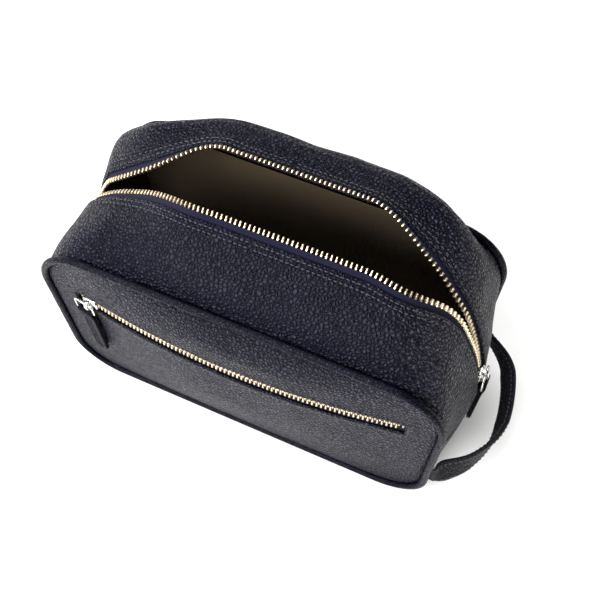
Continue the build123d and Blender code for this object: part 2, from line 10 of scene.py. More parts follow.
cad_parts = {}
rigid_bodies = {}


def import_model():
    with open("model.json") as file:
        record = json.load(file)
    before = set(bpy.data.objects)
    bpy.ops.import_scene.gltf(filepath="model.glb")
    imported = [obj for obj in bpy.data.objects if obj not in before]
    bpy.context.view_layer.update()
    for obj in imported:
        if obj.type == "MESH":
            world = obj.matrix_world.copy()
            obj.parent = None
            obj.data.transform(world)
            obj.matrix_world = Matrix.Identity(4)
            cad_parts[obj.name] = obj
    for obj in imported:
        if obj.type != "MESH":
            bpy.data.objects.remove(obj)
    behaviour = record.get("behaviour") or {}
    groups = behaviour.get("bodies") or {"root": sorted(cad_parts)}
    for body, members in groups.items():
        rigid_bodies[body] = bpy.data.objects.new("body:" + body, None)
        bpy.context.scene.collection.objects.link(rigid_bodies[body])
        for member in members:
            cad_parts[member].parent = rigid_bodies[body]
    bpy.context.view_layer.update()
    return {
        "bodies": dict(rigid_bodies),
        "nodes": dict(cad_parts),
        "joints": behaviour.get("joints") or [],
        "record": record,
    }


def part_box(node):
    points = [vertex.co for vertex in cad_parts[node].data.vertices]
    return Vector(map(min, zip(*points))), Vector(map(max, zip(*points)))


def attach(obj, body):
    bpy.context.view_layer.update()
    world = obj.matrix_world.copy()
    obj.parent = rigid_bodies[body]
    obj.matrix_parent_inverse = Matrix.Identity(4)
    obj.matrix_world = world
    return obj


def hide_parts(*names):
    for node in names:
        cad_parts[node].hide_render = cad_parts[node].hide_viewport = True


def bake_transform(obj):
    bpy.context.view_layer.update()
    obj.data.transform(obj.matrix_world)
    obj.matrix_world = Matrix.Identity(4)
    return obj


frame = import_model()
MM = 0.001

# ---------------------------------------------------------------- sizes, in millimetres
def node_box(name):
    """Lowest and highest corner of a CAD node."""
    low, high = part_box(name)
    return np.array(low) / MM, np.array(high) / MM


def joint(name):
    """One joint of the frame by name."""
    return next(j for j in frame["joints"] if j["name"] == name)


PIPE_LOW, PIPE_HIGH = node_box("front_piping")
PIPE = (PIPE_HIGH[1] - PIPE_LOW[1]) / 2
HALF = PIPE_HIGH[0] - PIPE
HEIGHT = PIPE_HIGH[2] - PIPE
SEAM_Y = PIPE_HIGH[1] * -1 + PIPE
STRIP_Y = SEAM_Y - PIPE
TOP_R = 38.0
LOW_R = 32.0
CORNER_X = HALF - TOP_R
CORNER_Z = HEIGHT - TOP_R
FOOT_X = HALF - LOW_R
FOOT_Z = PIPE + LOW_R
STRIP_FOOT_Z = node_box("front_strip_right_end")[0][2]
LEATHER = 1.8
ARC_R = 117.0
ARC_X = joint("main_slider_travel")["pos_m"][0] / MM
ARC_Z = joint("main_slider_travel")["pos_m"][2] / MM
TOP_SWELL = 1.6
CHAIN_DEPTH = 2.3
PITCH = 2.8
CROWN = 10.0
POCKET_Y = joint("pocket_slider_travel")["pos_m"][1] / MM
CROWN_R = POCKET_Y + CROWN + SEAM_Y
POCKET_Z = joint("pocket_slider_travel")["pos_m"][2] / MM
SLOT_X = 109.0
SLOT_Z = 5.6
TILT = {"front": -joint("front_flap_hinge")["range_deg"][0],
    "back": -joint("back_flap_hinge")["range_deg"][0]}
SIGN = {"front": -1, "back": 1}
SIDE = {"left": -1, "right": 1}
# Where each lip begins to bend, and where it is still again, along the bag.
BEND = {
    ("front", "right"): (80.0, 140.0),
    ("front", "left"): (-32.0, -118.0),
    ("back", "right"): (48.0, 140.0),
    ("back", "left"): (-38.0, -118.0),
}
LEATHER_EDGE = STRIP_Y - 6.5


# ---------------------------------------------------------------- meshes
def make_object(name, verts, faces, material):
    """Mesh object from millimetre points; it remembers where its points are at rest."""
    mesh = bpy.data.meshes.new(name)
    mesh.from_pydata((np.asarray(verts) * MM).tolist(), [], faces)
    mesh.validate()
    mesh.update()
    obj = bpy.data.objects.new(name, mesh)
    bpy.context.scene.collection.objects.link(obj)
    mesh.materials.append(material)
    mesh.polygons.foreach_set("use_smooth", [True] * len(mesh.polygons))
    place = mesh.attributes.new("rest_place", "FLOAT_VECTOR", "POINT")
    coords = np.zeros(len(mesh.vertices) * 3, np.float32)
    mesh.vertices.foreach_get("co", coords)
    place.data.foreach_set("vector", coords)
    return obj


def ring_faces(rings, around, caps=(True, True), closed=False):
    """Faces that join rings of points, each ring closed on itself."""
    faces = []
    for i in range(rings if closed else rings - 1):
        a = i * around
        b = ((i + 1) % rings) * around
        for j in range(around):
            k = (j + 1) % around
            faces.append((a + j, a + k, b + k, b + j))
    if caps[0] and not closed:
        faces.append(tuple(reversed(range(around))))
    if caps[1] and not closed:
        faces.append(tuple((rings - 1) * around + j for j in range(around)))
    return faces


def loft_shape(rings, closed=False, caps=(True, True)):
    """Solid through rings of equal length, as points and faces."""
    rings = np.asarray(rings, float)
    count, around = rings.shape[:2]
    return rings.reshape(-1, 3), ring_faces(count, around, caps, closed)


def tube_shape(path, radius, sides=14, closed=False, squash=1.0, up=(0, 0, 1)):
    """Round tube along a path; squash flattens it along the up direction."""
    path = np.asarray(path, float)
    count = len(path)
    turn = np.arange(sides) * 2 * math.pi / sides
    rings = []
    for i in range(count):
        before = path[i - 1] if i or closed else path[i]
        after = path[(i + 1) % count] if i < count - 1 or closed else path[i]
        along = (after - before) / np.linalg.norm(after - before)
        side = np.cross(along, up)
        side /= np.linalg.norm(side)
        lift = np.cross(side, along)
        rings.append(path[i] + radius * (np.outer(np.cos(turn), side) + squash * np.outer(np.sin(turn),
            lift)))
    return loft_shape(rings, closed)


def join_shapes(shapes):
    """Several shapes as one."""
    verts = []
    faces = []
    for points, quads in shapes:
        base = len(verts)
        verts.extend(np.asarray(points).tolist())
        faces.extend(tuple(base + i for i in face) for face in quads)
    return np.array(verts), faces


def made(name, shape, material):
    """Object of a shape, with its faces turned outwards."""
    obj = make_object(name, shape[0], shape[1], material)
    mesh = bmesh.new()
    mesh.from_mesh(obj.data)
    bmesh.ops.recalc_face_normals(mesh, faces=mesh.faces)
    mesh.to_mesh(obj.data)
    mesh.free()
    obj.data.set_sharp_from_angle(angle=math.radians(60))
    return obj


def many(name, template, frames, material):
    """One object of many copies of a template shape; each frame is (origin, X, Y, Z)."""
    verts, faces = template
    return made(name, join_shapes([(o + verts @ np.array([x, y, z]), faces) for o, x, y, z in frames]),
        material)


def grid(name, points, material, keep=None, flip=False):
    """Open sheet through rows of points; keep says which faces stay."""
    points = np.asarray(points, float)
    rows, columns = points.shape[:2]
    faces = []
    for i in range(rows - 1):
        for j in range(columns - 1):
            a = i * columns + j
            face = (a, a + 1, a + columns + 1, a + columns)
            middle = points[i:i + 2, j:j + 2].reshape(-1, 3).mean(axis=0)
            if keep is None or keep(middle):
                faces.append(tuple(reversed(face)) if flip else face)
    return make_object(name, points.reshape(-1, 3), faces, material)


def thicken(obj, thickness):
    """Give a sheet its thickness, inwards from its outer face."""
    modifier = obj.modifiers.new("thickness", "SOLIDIFY")
    modifier.thickness = thickness * MM
    modifier.offset = -1
    return obj


def lumps(point, size, amount, seed=0.0):
    """Slow random swell at a place, the same on every run."""
    where = Vector((point[0] / size + seed, point[1] / size + 3.1, point[2] / size - seed))
    return amount * noise.noise(where)


# ---------------------------------------------------------------- materials
def start_material(name):
    """A node material with its tree and its shader."""
    material = bpy.data.materials.new(name)
    material.use_nodes = True
    tree = material.node_tree
    return material, tree, tree.nodes["Principled BSDF"]


def add_node(tree, kind, **settings):
    """A new node with settings; a number keyed by in_N goes to input N."""
    made = tree.nodes.new(kind)
    for key, value in settings.items():
        if key.startswith("in_"):
            made.inputs[int(key[3:])].default_value = value
        else:
            setattr(made, key, value)
    return made


def map_range(tree, value, low, high, to_low, to_high, smooth=False):
    """Map a socket from one range to another."""
    made = add_node(tree, "ShaderNodeMapRange", in_1=low, in_2=high, in_3=to_low, in_4=to_high)
    made.interpolation_type = "SMOOTHSTEP" if smooth else "LINEAR"
    tree.links.new(value, made.inputs[0])
    return made.outputs[0]


def math_node(tree, operation, first, second):
    """A math node on sockets or numbers."""
    made = add_node(tree, "ShaderNodeMath", operation=operation)
    for place, value in ((0, first), (1, second)):
        if isinstance(value, (int, float)):
            made.inputs[place].default_value = value
        else:
            tree.links.new(value, made.inputs[place])
    return made.outputs[0]


def mix_colour(tree, share, first, second):
    """A colour between two, by a socket."""
    made = add_node(tree, "ShaderNodeMix", data_type="RGBA")
    tree.links.new(share, made.inputs[0])
    for place, value in ((6, first), (7, second)):
        if isinstance(value, tuple):
            made.inputs[place].default_value = (*value, 1)
        else:
            tree.links.new(value, made.inputs[place])
    return made.outputs[2]


def object_place(tree):
    """The place on the object at rest, so that grain and weave bend with the piece."""
    return add_node(tree, "ShaderNodeAttribute", attribute_name="rest_place").outputs["Vector"]


def noise_at(tree, place, scale, detail=3.0, rough=0.55):
    """A noise texture's value."""
    made = add_node(tree, "ShaderNodeTexNoise")
    made.inputs["Scale"].default_value = scale
    made.inputs["Detail"].default_value = detail
    made.inputs["Roughness"].default_value = rough
    tree.links.new(place, made.inputs["Vector"])
    return made


def bump_from(tree, shader, height, distance, strength=1.0):
    """Bump the shader's surface by a height."""
    made = add_node(tree, "ShaderNodeBump")
    made.inputs["Strength"].default_value = strength
    made.inputs["Distance"].default_value = distance
    tree.links.new(height, made.inputs["Height"])
    tree.links.new(made.outputs["Normal"], shader.inputs["Normal"])


def leather(name, tint, painted_crease_shade, cell=0.0021, depth=0.00028, rough=0.42, spread=0.12, shine=0.3):
    """Pebbled leather: rounded cells with painted shade in the creases, fine pores, slow change of colour and
    polish.
    """
    material, tree, shader = start_material(name)
    place = object_place(tree)
    warp = noise_at(tree, place, 0.55 / cell, 2.0)
    shift = add_node(tree, "ShaderNodeVectorMath", operation="SCALE")
    shift.inputs["Scale"].default_value = cell * 1.1
    tree.links.new(warp.outputs["Color"], shift.inputs[0])
    moved = add_node(tree, "ShaderNodeVectorMath", operation="ADD")
    tree.links.new(place, moved.inputs[0])
    tree.links.new(shift.outputs[0], moved.inputs[1])
    cells = add_node(tree, "ShaderNodeTexVoronoi", feature="DISTANCE_TO_EDGE")
    cells.inputs["Scale"].default_value = 1 / cell
    tree.links.new(moved.outputs[0], cells.inputs["Vector"])
    pebble = map_range(tree, cells.outputs["Distance"], 0.0, 0.42, 0.0, 1.0)
    tone = add_node(tree, "ShaderNodeTexVoronoi", feature="F1")
    tone.inputs["Scale"].default_value = 1 / cell
    tree.links.new(moved.outputs[0], tone.inputs["Vector"])
    dome = map_range(tree, tone.outputs["Distance"], 0.0, 0.7, 1.0, 0.0, smooth=True)
    small = add_node(tree, "ShaderNodeTexVoronoi", feature="DISTANCE_TO_EDGE")
    small.inputs["Scale"].default_value = 2.3 / cell
    tree.links.new(moved.outputs[0], small.inputs["Vector"])
    grain = map_range(tree, small.outputs["Distance"], 0.0, 0.3, 0.0, 1.0, smooth=True)
    pores = noise_at(tree, place, 2600.0, 2.0).outputs["Fac"]
    slow = noise_at(tree, place, 22.0, 3.0).outputs["Fac"]
    height = math_node(tree, "ADD", pebble, math_node(tree, "MULTIPLY", pores, 0.1))
    height = math_node(tree, "ADD", height, math_node(tree, "MULTIPLY", dome, 1.1))
    height = math_node(tree, "ADD", height, math_node(tree, "MULTIPLY", grain, 0.2))
    bump_from(tree, shader, height, depth)
    light = tuple(min(1.0, c * (1 + spread * 3)) for c in tint)
    body = mix_colour(tree, map_range(tree, slow, 0.3, 0.7, 0.0, 1.0), tint, light)
    # Painted shade: the creases between the pebbles get the darker crease colour.
    colour = mix_colour(tree, pebble, painted_crease_shade, body)
    tree.links.new(colour, shader.inputs["Base Color"])
    polish = math_node(tree, "ADD", map_range(tree, pebble, 0, 1, rough + 0.22, rough),
        map_range(tree, slow, 0, 1, -0.08, 0.08))
    tree.links.new(polish, shader.inputs["Roughness"])
    tree.links.new(map_range(tree, pebble, 0.0, 0.65, shine * 0.15, shine),
        shader.inputs["Specular IOR Level"])
    shader.inputs["Specular Tint"].default_value = (0.85, 0.86, 1.0, 1)
    return material


def cloth(name, dark, light, thread, rough=0.85, sheen=0.25, slant=1.0):
    """Twill: fine slanted ribs over a plain crossing thread."""
    material, tree, shader = start_material(name)
    place = object_place(tree)
    split = add_node(tree, "ShaderNodeSeparateXYZ")
    tree.links.new(place, split.inputs[0])
    across = math_node(tree, "ADD", split.outputs[1], split.outputs[2])
    ribs = math_node(tree, "ADD", split.outputs[0], math_node(tree, "MULTIPLY", across, slant))
    wave = math_node(tree, "SINE", math_node(tree, "MULTIPLY", ribs, 2 * math.pi / thread), 0.0)
    cross = math_node(tree, "SINE", math_node(tree, "MULTIPLY", across, 2 * math.pi / (thread * 0.8)), 0.0)
    weave = math_node(tree, "ADD", wave, math_node(tree, "MULTIPLY", cross, 0.5))
    weave = map_range(tree, weave, -1.5, 1.5, 0.0, 1.0)
    slow = noise_at(tree, place, 30.0, 3.0).outputs["Fac"]
    share = math_node(tree, "ADD", math_node(tree, "MULTIPLY", weave, 0.7),
        math_node(tree, "MULTIPLY", slow, 0.3))
    tree.links.new(mix_colour(tree, share, dark, light), shader.inputs["Base Color"])
    bump_from(tree, shader, weave, thread * 0.25)
    shader.inputs["Roughness"].default_value = rough
    shader.inputs["Sheen Weight"].default_value = sheen
    shader.inputs["Specular IOR Level"].default_value = 0.25
    return material


def metal(name, tint, rough, scratch=0.06):
    """Polished plated metal with faint scratches and worn, duller patches."""
    material, tree, shader = start_material(name)
    place = object_place(tree)
    fine = noise_at(tree, place, 1800.0, 4.0, 0.7).outputs["Fac"]
    slow = noise_at(tree, place, 160.0, 2.0).outputs["Fac"]
    dull = tuple(c * 0.78 for c in tint)
    tree.links.new(mix_colour(tree, map_range(tree, slow, 0.35, 0.65, 0, 1), dull, tint),
        shader.inputs["Base Color"])
    polish = math_node(tree, "ADD", map_range(tree, slow, 0.2, 0.8, rough, rough + 0.12),
        math_node(tree, "MULTIPLY", fine, scratch))
    tree.links.new(polish, shader.inputs["Roughness"])
    bump_from(tree, shader, fine, 0.00002)
    shader.inputs["Metallic"].default_value = 1.0
    return material


def thread_material(name, tint):
    """Twisted sewing thread."""
    material, tree, shader = start_material(name)
    place = object_place(tree)
    twist = noise_at(tree, place, 3200.0, 2.0).outputs["Fac"]
    dark = tuple(c * 0.5 for c in tint)
    tree.links.new(mix_colour(tree, twist, dark, tint), shader.inputs["Base Color"])
    bump_from(tree, shader, twist, 0.00006)
    shader.inputs["Roughness"].default_value = 0.6
    shader.inputs["Sheen Weight"].default_value = 0.3
    return material


# The second colour of each leather is painted shade for the creases between its pebbles.
LEATHER_MAT = leather("pebbled_leather", (0.0048, 0.0048, 0.0165), (0.0008, 0.0008, 0.0030),
    cell=0.0023, depth=0.00085, rough=0.30, shine=0.40)
PIPING_MAT = leather("piping_leather", (0.0030, 0.0030, 0.0085), (0.0015, 0.0015, 0.004), cell=0.0017,
    depth=0.00012, rough=0.26, shine=0.16)
HANDLE_MAT = leather("handle_leather", (0.0065, 0.0065, 0.0095), (0.002, 0.002, 0.003), cell=0.0017,
    depth=0.00022, rough=0.42)
PULL_MAT = leather("pull_leather", (0.007, 0.0072, 0.012), (0.0025, 0.0025, 0.004), cell=0.0016,
    depth=0.00016, rough=0.48, shine=0.08)
EDGE_MAT = leather("leather_edge", (0.008, 0.008, 0.011), (0.004, 0.004, 0.006), cell=0.0009,
    depth=0.00006, rough=0.5)
TAPE_MAT = cloth("zip_tape_cloth", (0.0010, 0.0010, 0.0080), (0.0030, 0.0031, 0.0260), 0.0006, sheen=0.02)
LINING_MAT = cloth("lining_twill", (0.024, 0.016, 0.008), (0.080, 0.054, 0.028), 0.0014, sheen=0.03)
TEETH_MAT = metal("zip_teeth_metal", (0.74, 0.62, 0.44), 0.24)
NICKEL_MAT = metal("nickel", (0.80, 0.79, 0.76), 0.14)
THREAD_MAT = thread_material("navy_thread", (0.013, 0.0135, 0.027))
BOARD_MAT = cloth("fibre_board", (0.12, 0.10, 0.07), (0.2, 0.17, 0.12), 0.0012, sheen=0.0)


# ---------------------------------------------------------------- shape of the box
def swell_on_end(z):
    """How far the middle of an end stands out from the seam line at height z."""
    foot, knee = 10.0, 62.0
    if z <= foot:
        return 0.0
    on_arc = ARC_X + math.sqrt(ARC_R ** 2 - (max(z, knee) - ARC_Z) ** 2) - HALF
    if z >= knee:
        return on_arc
    return on_arc * math.sin(math.pi / 2 * (z - foot) / (knee - foot)) ** 1.3


def swell_on_corner(angle):
    """The same round the top corner, at an angle from the horizontal in radians."""
    nx, nz = math.cos(angle), math.sin(angle)
    dx, dz = CORNER_X + TOP_R * nx - ARC_X, CORNER_Z + TOP_R * nz - ARC_Z
    along = dx * nx + dz * nz
    on_arc = math.sqrt(along ** 2 - dx ** 2 - dz ** 2 + ARC_R ** 2) - along
    return on_arc if angle <= math.pi / 4 else TOP_SWELL


def fullness(y):
    """Share of the swell at a distance y from the middle."""
    return math.cos(math.pi / 2 * min(1.0, abs(y) / STRIP_Y))


END_RUN = CORNER_Z - STRIP_FOOT_Z
CORNER_RUN = TOP_R * math.pi / 2
HALF_RUN = END_RUN + CORNER_RUN + CORNER_X


def seam_place(run):
    """Seam line from the strip's foot at an end to the middle of the top: (x, z), normal, swell."""
    if run <= END_RUN:
        z = STRIP_FOOT_Z + run
        return (HALF, z), (1.0, 0.0), swell_on_end(z)
    if run <= END_RUN + CORNER_RUN:
        angle = (run - END_RUN) / TOP_R
        normal = (math.cos(angle), math.sin(angle))
        return (CORNER_X + TOP_R * normal[0], CORNER_Z + TOP_R * normal[1]), normal, swell_on_corner(angle)
    return (CORNER_X - (run - END_RUN - CORNER_RUN), HEIGHT), (0.0, 1.0), TOP_SWELL


def lip_share(x, face, side):
    """How much of the lip's opening a place x along the bag takes."""
    near, far = BEND[face, side]
    t = min(1.0, max(0.0, (x - near) / (far - near)))
    return 1 - t * t * (3 - 2 * t)


def soft_step(value, low, high):
    """Smooth rise from 0 to 1 between two values."""
    t = min(1.0, max(0.0, (value - low) / (high - low)))
    return t * t * (3 - 2 * t)


# How far the unzipped edges stand back from the middle round the corners,
# as (start, full, fall, end, millimetres).
SLACK = {
    ("front", "left"): (2.0, 42.0, 90.0, 165.0, 3.5),
    ("back", "left"): (2.0, 42.0, 90.0, 165.0, 7.0),
    ("front", "right"): (21.0, 60.0, 84.0, 125.0, 5.2),
    ("back", "right"): (21.0, 60.0, 84.0, 125.0, 4.2),
}


def slack(face, side, run):
    """How far the zip's edge stands back from the middle at a place along the seam."""
    start, full, fall, end, most = SLACK[face, side]
    return most * soft_step(run, start, full) * (1 - soft_step(run, fall, end))


# Height of the soft arch that each open lip makes between its seam and its edge.
ARCH = {"front": 2.5, "back": 18.0}
# The arch starts this far past an end's straight run, and is full this far past the corner.
ARCH_START = {"left": -20.0, "right": 12.0}
ARCH_PAST_CORNER = 12.0


def arch(face, side, run, across):
    """Arch of the lip at a place: fullest near its seam, gone at the edge and down the ends."""
    share = min(1.0, max(0.0, across / LEATHER_EDGE)) ** 0.8
    start = END_RUN + ARCH_START[side]
    return ARCH[face] * math.sin(math.pi * share) ** 1.5 * soft_step(run, start,
        END_RUN + CORNER_RUN + ARCH_PAST_CORNER)


def strip_point(face, side, run, across, depth):
    """Point of the top strip: run along the seam, across from seam to zip, depth below the outer face."""
    (x, z), normal, swell = seam_place(run)
    across *= 1 - slack(face, side, run) / STRIP_Y
    reach = swell * fullness(STRIP_Y - across) + arch(face, side, run, across) - depth
    x = SIDE[side] * (x + normal[0] * reach)
    lift = z + normal[1] * reach - HEIGHT
    lean = math.radians(TILT[face]) * lip_share(x, face, side)
    inward = across * math.cos(lean) - lift * math.sin(lean)
    z = HEIGHT + across * math.sin(lean) + lift * math.cos(lean)
    return np.array([x, SIGN[face] * (STRIP_Y - inward), z])


def strip_frame(face, side, run, across, depth):
    """Origin and axes on the strip: X along it, Y to the zip, Z out of the leather."""
    here = strip_point(face, side, run, across, depth)
    along = strip_point(face, side, run + 0.3, across, depth) - strip_point(face, side, run - 0.3,
        across, depth)
    over = strip_point(face, side, run, across + 0.3, depth) - strip_point(face, side, run,
        across - 0.3, depth)
    along /= np.linalg.norm(along)
    out = np.cross(along, over)
    out /= np.linalg.norm(out)
    if out @ (strip_point(face, side, run, across, depth - 1) - here) < 0:
        out = -out
    over = np.cross(out, along)
    if over @ (strip_point(face, side, run, across + 0.3, depth) - here) < 0:
        along, over = -along, -over
    return here, along, over, out


def bend_with_lip(obj):
    """Bake the piece's place into its mesh."""
    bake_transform(obj)


# ---------------------------------------------------------------- stitching
def stitch_template(length=2.3, radius=0.33):
    """One stitch lying along X, with its ends sinking into the leather."""
    sides = 6
    verts = []
    steps = ((-0.5, 0.15, -0.3), (-0.38, 0.8, 0.0), (-0.15, 1.0, 0.22), (0.15, 1.0, 0.22),
        (0.38, 0.8, 0.0), (0.5, 0.15, -0.3))
    for along, size, lift in steps:
        for j in range(sides):
            turn = 2 * math.pi * j / sides
            verts.append((along * length, radius * size * math.cos(turn),
                lift + radius * 0.8 * size * math.sin(turn)))
    return np.array(verts), ring_faces(len(steps), sides)


STITCH = stitch_template()
SMALL_STITCH = stitch_template(1.7, 0.25)


def tooth_template():
    """One zip tooth: X along the zip, Y towards the other row, Z through the tape."""
    steps = (
        (-1.5, 0.45, 0.9), (-1.35, 0.64, 1.25), (-1.0, 0.7, 1.38), (0.3, 0.68, 1.38), (0.65, 0.5, 1.15),
        (1.0, 0.5, 1.1), (1.35, 0.6, 1.05), (1.65, 0.55, 0.9), (1.8, 0.3, 0.55),
    )
    sides = 8
    verts = []
    for y, half_x, half_z in steps:
        for j in range(sides):
            turn = 2 * math.pi * (j + 0.5) / sides
            cx, cz = math.cos(turn), math.sin(turn)
            verts.append((half_x * np.sign(cx) * abs(cx) ** 0.5, y, half_z * np.sign(cz) * abs(cz) ** 0.5))
    return np.array(verts), ring_faces(len(steps), sides)


TOOTH = tooth_template()


# ---------------------------------------------------------------- top strip
STRIP_STEPS = [*np.linspace(0, END_RUN, 14)[:-1], *np.linspace(END_RUN, END_RUN + CORNER_RUN, 30)[:-1]]
STRIP_STEPS += [*np.linspace(END_RUN + CORNER_RUN, HALF_RUN, 40)]
STITCH_LINES = (LEATHER_EDGE - 2.2, LEATHER_EDGE - 5.4)


def strip_profile():
    """Cross-section of the leather strip as (across, depth), once round."""
    outer = [(-1.4, 2.0), (-0.7, 1.6), (0.1, 1.05), (0.8, 0.55), (1.8, 0.18), (3.2, 0.0)]
    outer += [(c, 0.0) for c in (6, 10, 15, 20, 25, 30, 35, 39)]
    for line in sorted(STITCH_LINES):
        outer += [(line - 1.1, -0.12), (line - 0.45, 0.12), (line + 0.45, 0.12), (line + 1.1, -0.12)]
    outer += [(LEATHER_EDGE - 0.7, -0.15), (LEATHER_EDGE - 0.15, 0.2), (LEATHER_EDGE, 0.8),
        (LEATHER_EDGE - 0.2, 1.5)]
    inner = [(LEATHER_EDGE - 0.9, LEATHER)] + [(c, LEATHER) for c in (42, 32, 22, 12, 4)] + [(1.6,
        LEATHER + 0.3), (-0.6, 3.0)]
    return outer + inner


def strip_piece(name, face, side, profile, material, waves=0.0):
    """One half of a sheet that runs over the top and down an end, shaped to its lip's lean."""
    rings = []
    for run in STRIP_STEPS:
        ring = []
        for across, depth in profile:
            point = strip_point(face, side, run, across, depth)
            if waves:
                share = math.sin(math.pi * min(1.0, max(0.0, across) / LEATHER_EDGE))
                out = lumps(point, 26.0, 2 * waves, 5.0) + lumps(point, 9.0, waves * 0.5, 2.0)
                point = strip_point(face, side, run, across, depth - share * out)
            ring.append(point)
        rings.append(ring)
    obj = made(name, loft_shape(rings, caps=(True, False)), material)
    bend_with_lip(obj)
    return obj


def tape_profile():
    """Zip tape with a corded edge under the teeth."""
    edge = STRIP_Y - 2.9
    top = [(34.0, CHAIN_DEPTH - 0.25), (42.0, CHAIN_DEPTH - 0.25), (48.0, CHAIN_DEPTH - 0.28),
        (edge - 1.2, CHAIN_DEPTH - 0.3)]
    top += [(edge - 0.8, CHAIN_DEPTH - 0.6), (edge - 0.2, CHAIN_DEPTH - 0.65), (edge, CHAIN_DEPTH)]
    low = [(edge - 0.2, CHAIN_DEPTH + 0.65), (edge - 0.8, CHAIN_DEPTH + 0.6),
        (edge - 1.2, CHAIN_DEPTH + 0.3)]
    low += [(42.0, CHAIN_DEPTH + 0.25), (34.0, CHAIN_DEPTH + 0.25)]
    return top + low


def lining_profile():
    """Turned lining of the lip, between the seam and the tape."""
    return [(1.5, 2.9), (8, 2.85), (20, 2.9), (32, 2.85), (42.5, 2.75), (43.4, 3.1), (42.5, 3.6),
        (30, 3.7), (15, 3.7), (1.5, 3.7)]


def main_teeth(face, side):
    """Frames of one row's teeth from an end to the middle of the top, a half pitch apart front and back."""
    frames = []
    run = HALF_RUN - (PITCH / 2 if face == "front" else PITCH if side == "left" else 0.0)
    slider_run = node_box("main_slider")[0][2] + 6.5 - STRIP_FOOT_Z
    while run > 3.0:
        in_slider = side == "right" and slider_run + 0.5 < run < slider_run + 7.5
        if not in_slider:
            here, along, over, out = strip_frame(face, side, run, STRIP_Y - 0.2 - 1.2, CHAIN_DEPTH)
            frames.append((here, along, over, out))
        run -= PITCH
    return frames


def build_top_strip(face, side):
    """One half of a lip: leather strip, zip tape, lining, a row of teeth and two rows of stitches."""
    strip = strip_piece(f"{face}_strip_{side}", face, side, strip_profile(), LEATHER_MAT, waves=0.5)
    tape = strip_piece(f"{face}_tape_{side}", face, side, tape_profile(), TAPE_MAT)
    inner = strip_piece(f"{face}_strip_lining_{side}", face, side, lining_profile(), LINING_MAT)
    teeth = many(f"{face}_teeth_{side}", TOOTH, main_teeth(face, side), TEETH_MAT)
    frames = []
    for line in STITCH_LINES:
        for run in np.arange(2.0, HALF_RUN - 1.0, 3.1):
            frames.append(strip_frame(face, side, run, line, -0.02))
    sewing = many(f"{face}_strip_stitching_{side}", STITCH, frames, THREAD_MAT)
    bend_with_lip(teeth)
    bend_with_lip(sewing)
    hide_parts(f"{face}_lip", f"{face}_strip_folds", f"{face}_strip_{side}_end")
    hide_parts(f"{face}_lip_tape", f"{face}_tape_folds", f"{face}_tape_ends")
    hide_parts(f"{face}_lip_lining", f"{face}_strip_end_linings")
    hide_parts(f"{face}_lip_teeth", f"{face}_teeth_folds", f"{face}_teeth_ends")


# ---------------------------------------------------------------- panels
PANEL_INSET = 1.1
EDGE_STEPS = (0.0, 0.6, 1.2, 1.8, 2.5, 3.4, 4.6, 6.5, 9.0)
SLOT_STEPS = (0.0, 0.2, 0.5, 0.9, 1.5, 2.2, 3.2, 4.6, 6.2, 7.6)


def half_width(z, inset):
    """Half width of the panel outline at height z, drawn in by an inset."""
    if z > CORNER_Z:
        return CORNER_X + math.sqrt(max(0.0, (TOP_R - inset) ** 2 - (z - CORNER_Z) ** 2))
    if z < FOOT_Z:
        return FOOT_X + math.sqrt(max(0.0, (LOW_R - inset) ** 2 - (FOOT_Z - z) ** 2))
    return HALF - inset


def edge_gap(x, z):
    """Distance in from the seam line of a panel."""
    x = abs(x)
    if z > CORNER_Z and x > CORNER_X:
        return TOP_R - math.hypot(x - CORNER_X, z - CORNER_Z)
    if z < FOOT_Z and x > FOOT_X:
        return LOW_R - math.hypot(x - FOOT_X, FOOT_Z - z)
    return min(HALF - x, HEIGHT - z, z - PIPE)


def slot_gap(x, z):
    """Distance from the pocket's slot."""
    return math.hypot(max(0.0, abs(x) - SLOT_X), max(0.0, abs(z - POCKET_Z) - SLOT_Z))


def crown_along(x):
    """Share of the crown at x: an arc that runs out softly near the ends."""
    x = abs(x)
    start, stop = 96.0, 125.0
    if x <= start:
        return (math.sqrt(CROWN_R ** 2 - x ** 2) - CROWN_R + CROWN) / CROWN
    at_start = (math.sqrt(CROWN_R ** 2 - start ** 2) - CROWN_R + CROWN) / CROWN
    slope = -start / math.sqrt(CROWN_R ** 2 - start ** 2) / CROWN
    t = min(1.0, (x - start) / (stop - start))
    return at_start * (2 * t ** 3 - 3 * t ** 2 + 1) + slope * (stop - start) * (t ** 3 - 2 * t ** 2 + t)


def crown_up(z):
    """Share of the crown at height z: full at the zip, rolling in at the top and the base."""
    full_low, full_high = 74.0, 122.0
    if z < full_low:
        return math.sin(math.pi / 2 * max(0.0, z - PIPE) / (full_low - PIPE)) ** 0.9
    if z > full_high:
        return max(0.0, math.cos(math.pi / 2 * (z - full_high) / (HEIGHT - PIPE - full_high))) ** 1.1
    return 1.0


def panel_point(face, x, z):
    """Point of a panel's outer face, with its rolled edge and soft dents."""
    out = CROWN * crown_along(x) * crown_up(z)
    gap = edge_gap(x, z) - PANEL_INSET
    out -= 2.1 * max(0.0, 1 - gap / 4.6) ** 2
    calm = min(1.0, max(0.0, gap) / 18)
    if face == "front":
        near = slot_gap(x, z)
        out -= 1.0 * max(0.0, 1 - near / 1.3) ** 2
        out += 0.35 * max(0.0, min(1.0, (7.4 - near) / 0.9))
        calm *= min(1.0, near / 20)
        pull = math.exp(-((abs(x) - SLOT_X - 7) / 7) ** 2) * math.sin((z - POCKET_Z) / 4.2) * 0.35
        out += pull * math.exp(-((z - POCKET_Z) / 16) ** 2) * min(1.0, max(0.0, gap) / 5)
    out += calm * lumps((x, 0, z), 52.0, 1.6, 7.0 if face == "front" else 1.0)
    out += min(1.0, max(0.0, gap) / 6) * lumps((x, 0, z), 15.0, 0.22, 3.0)
    return np.array([x, SIGN[face] * (SEAM_Y + out), z])


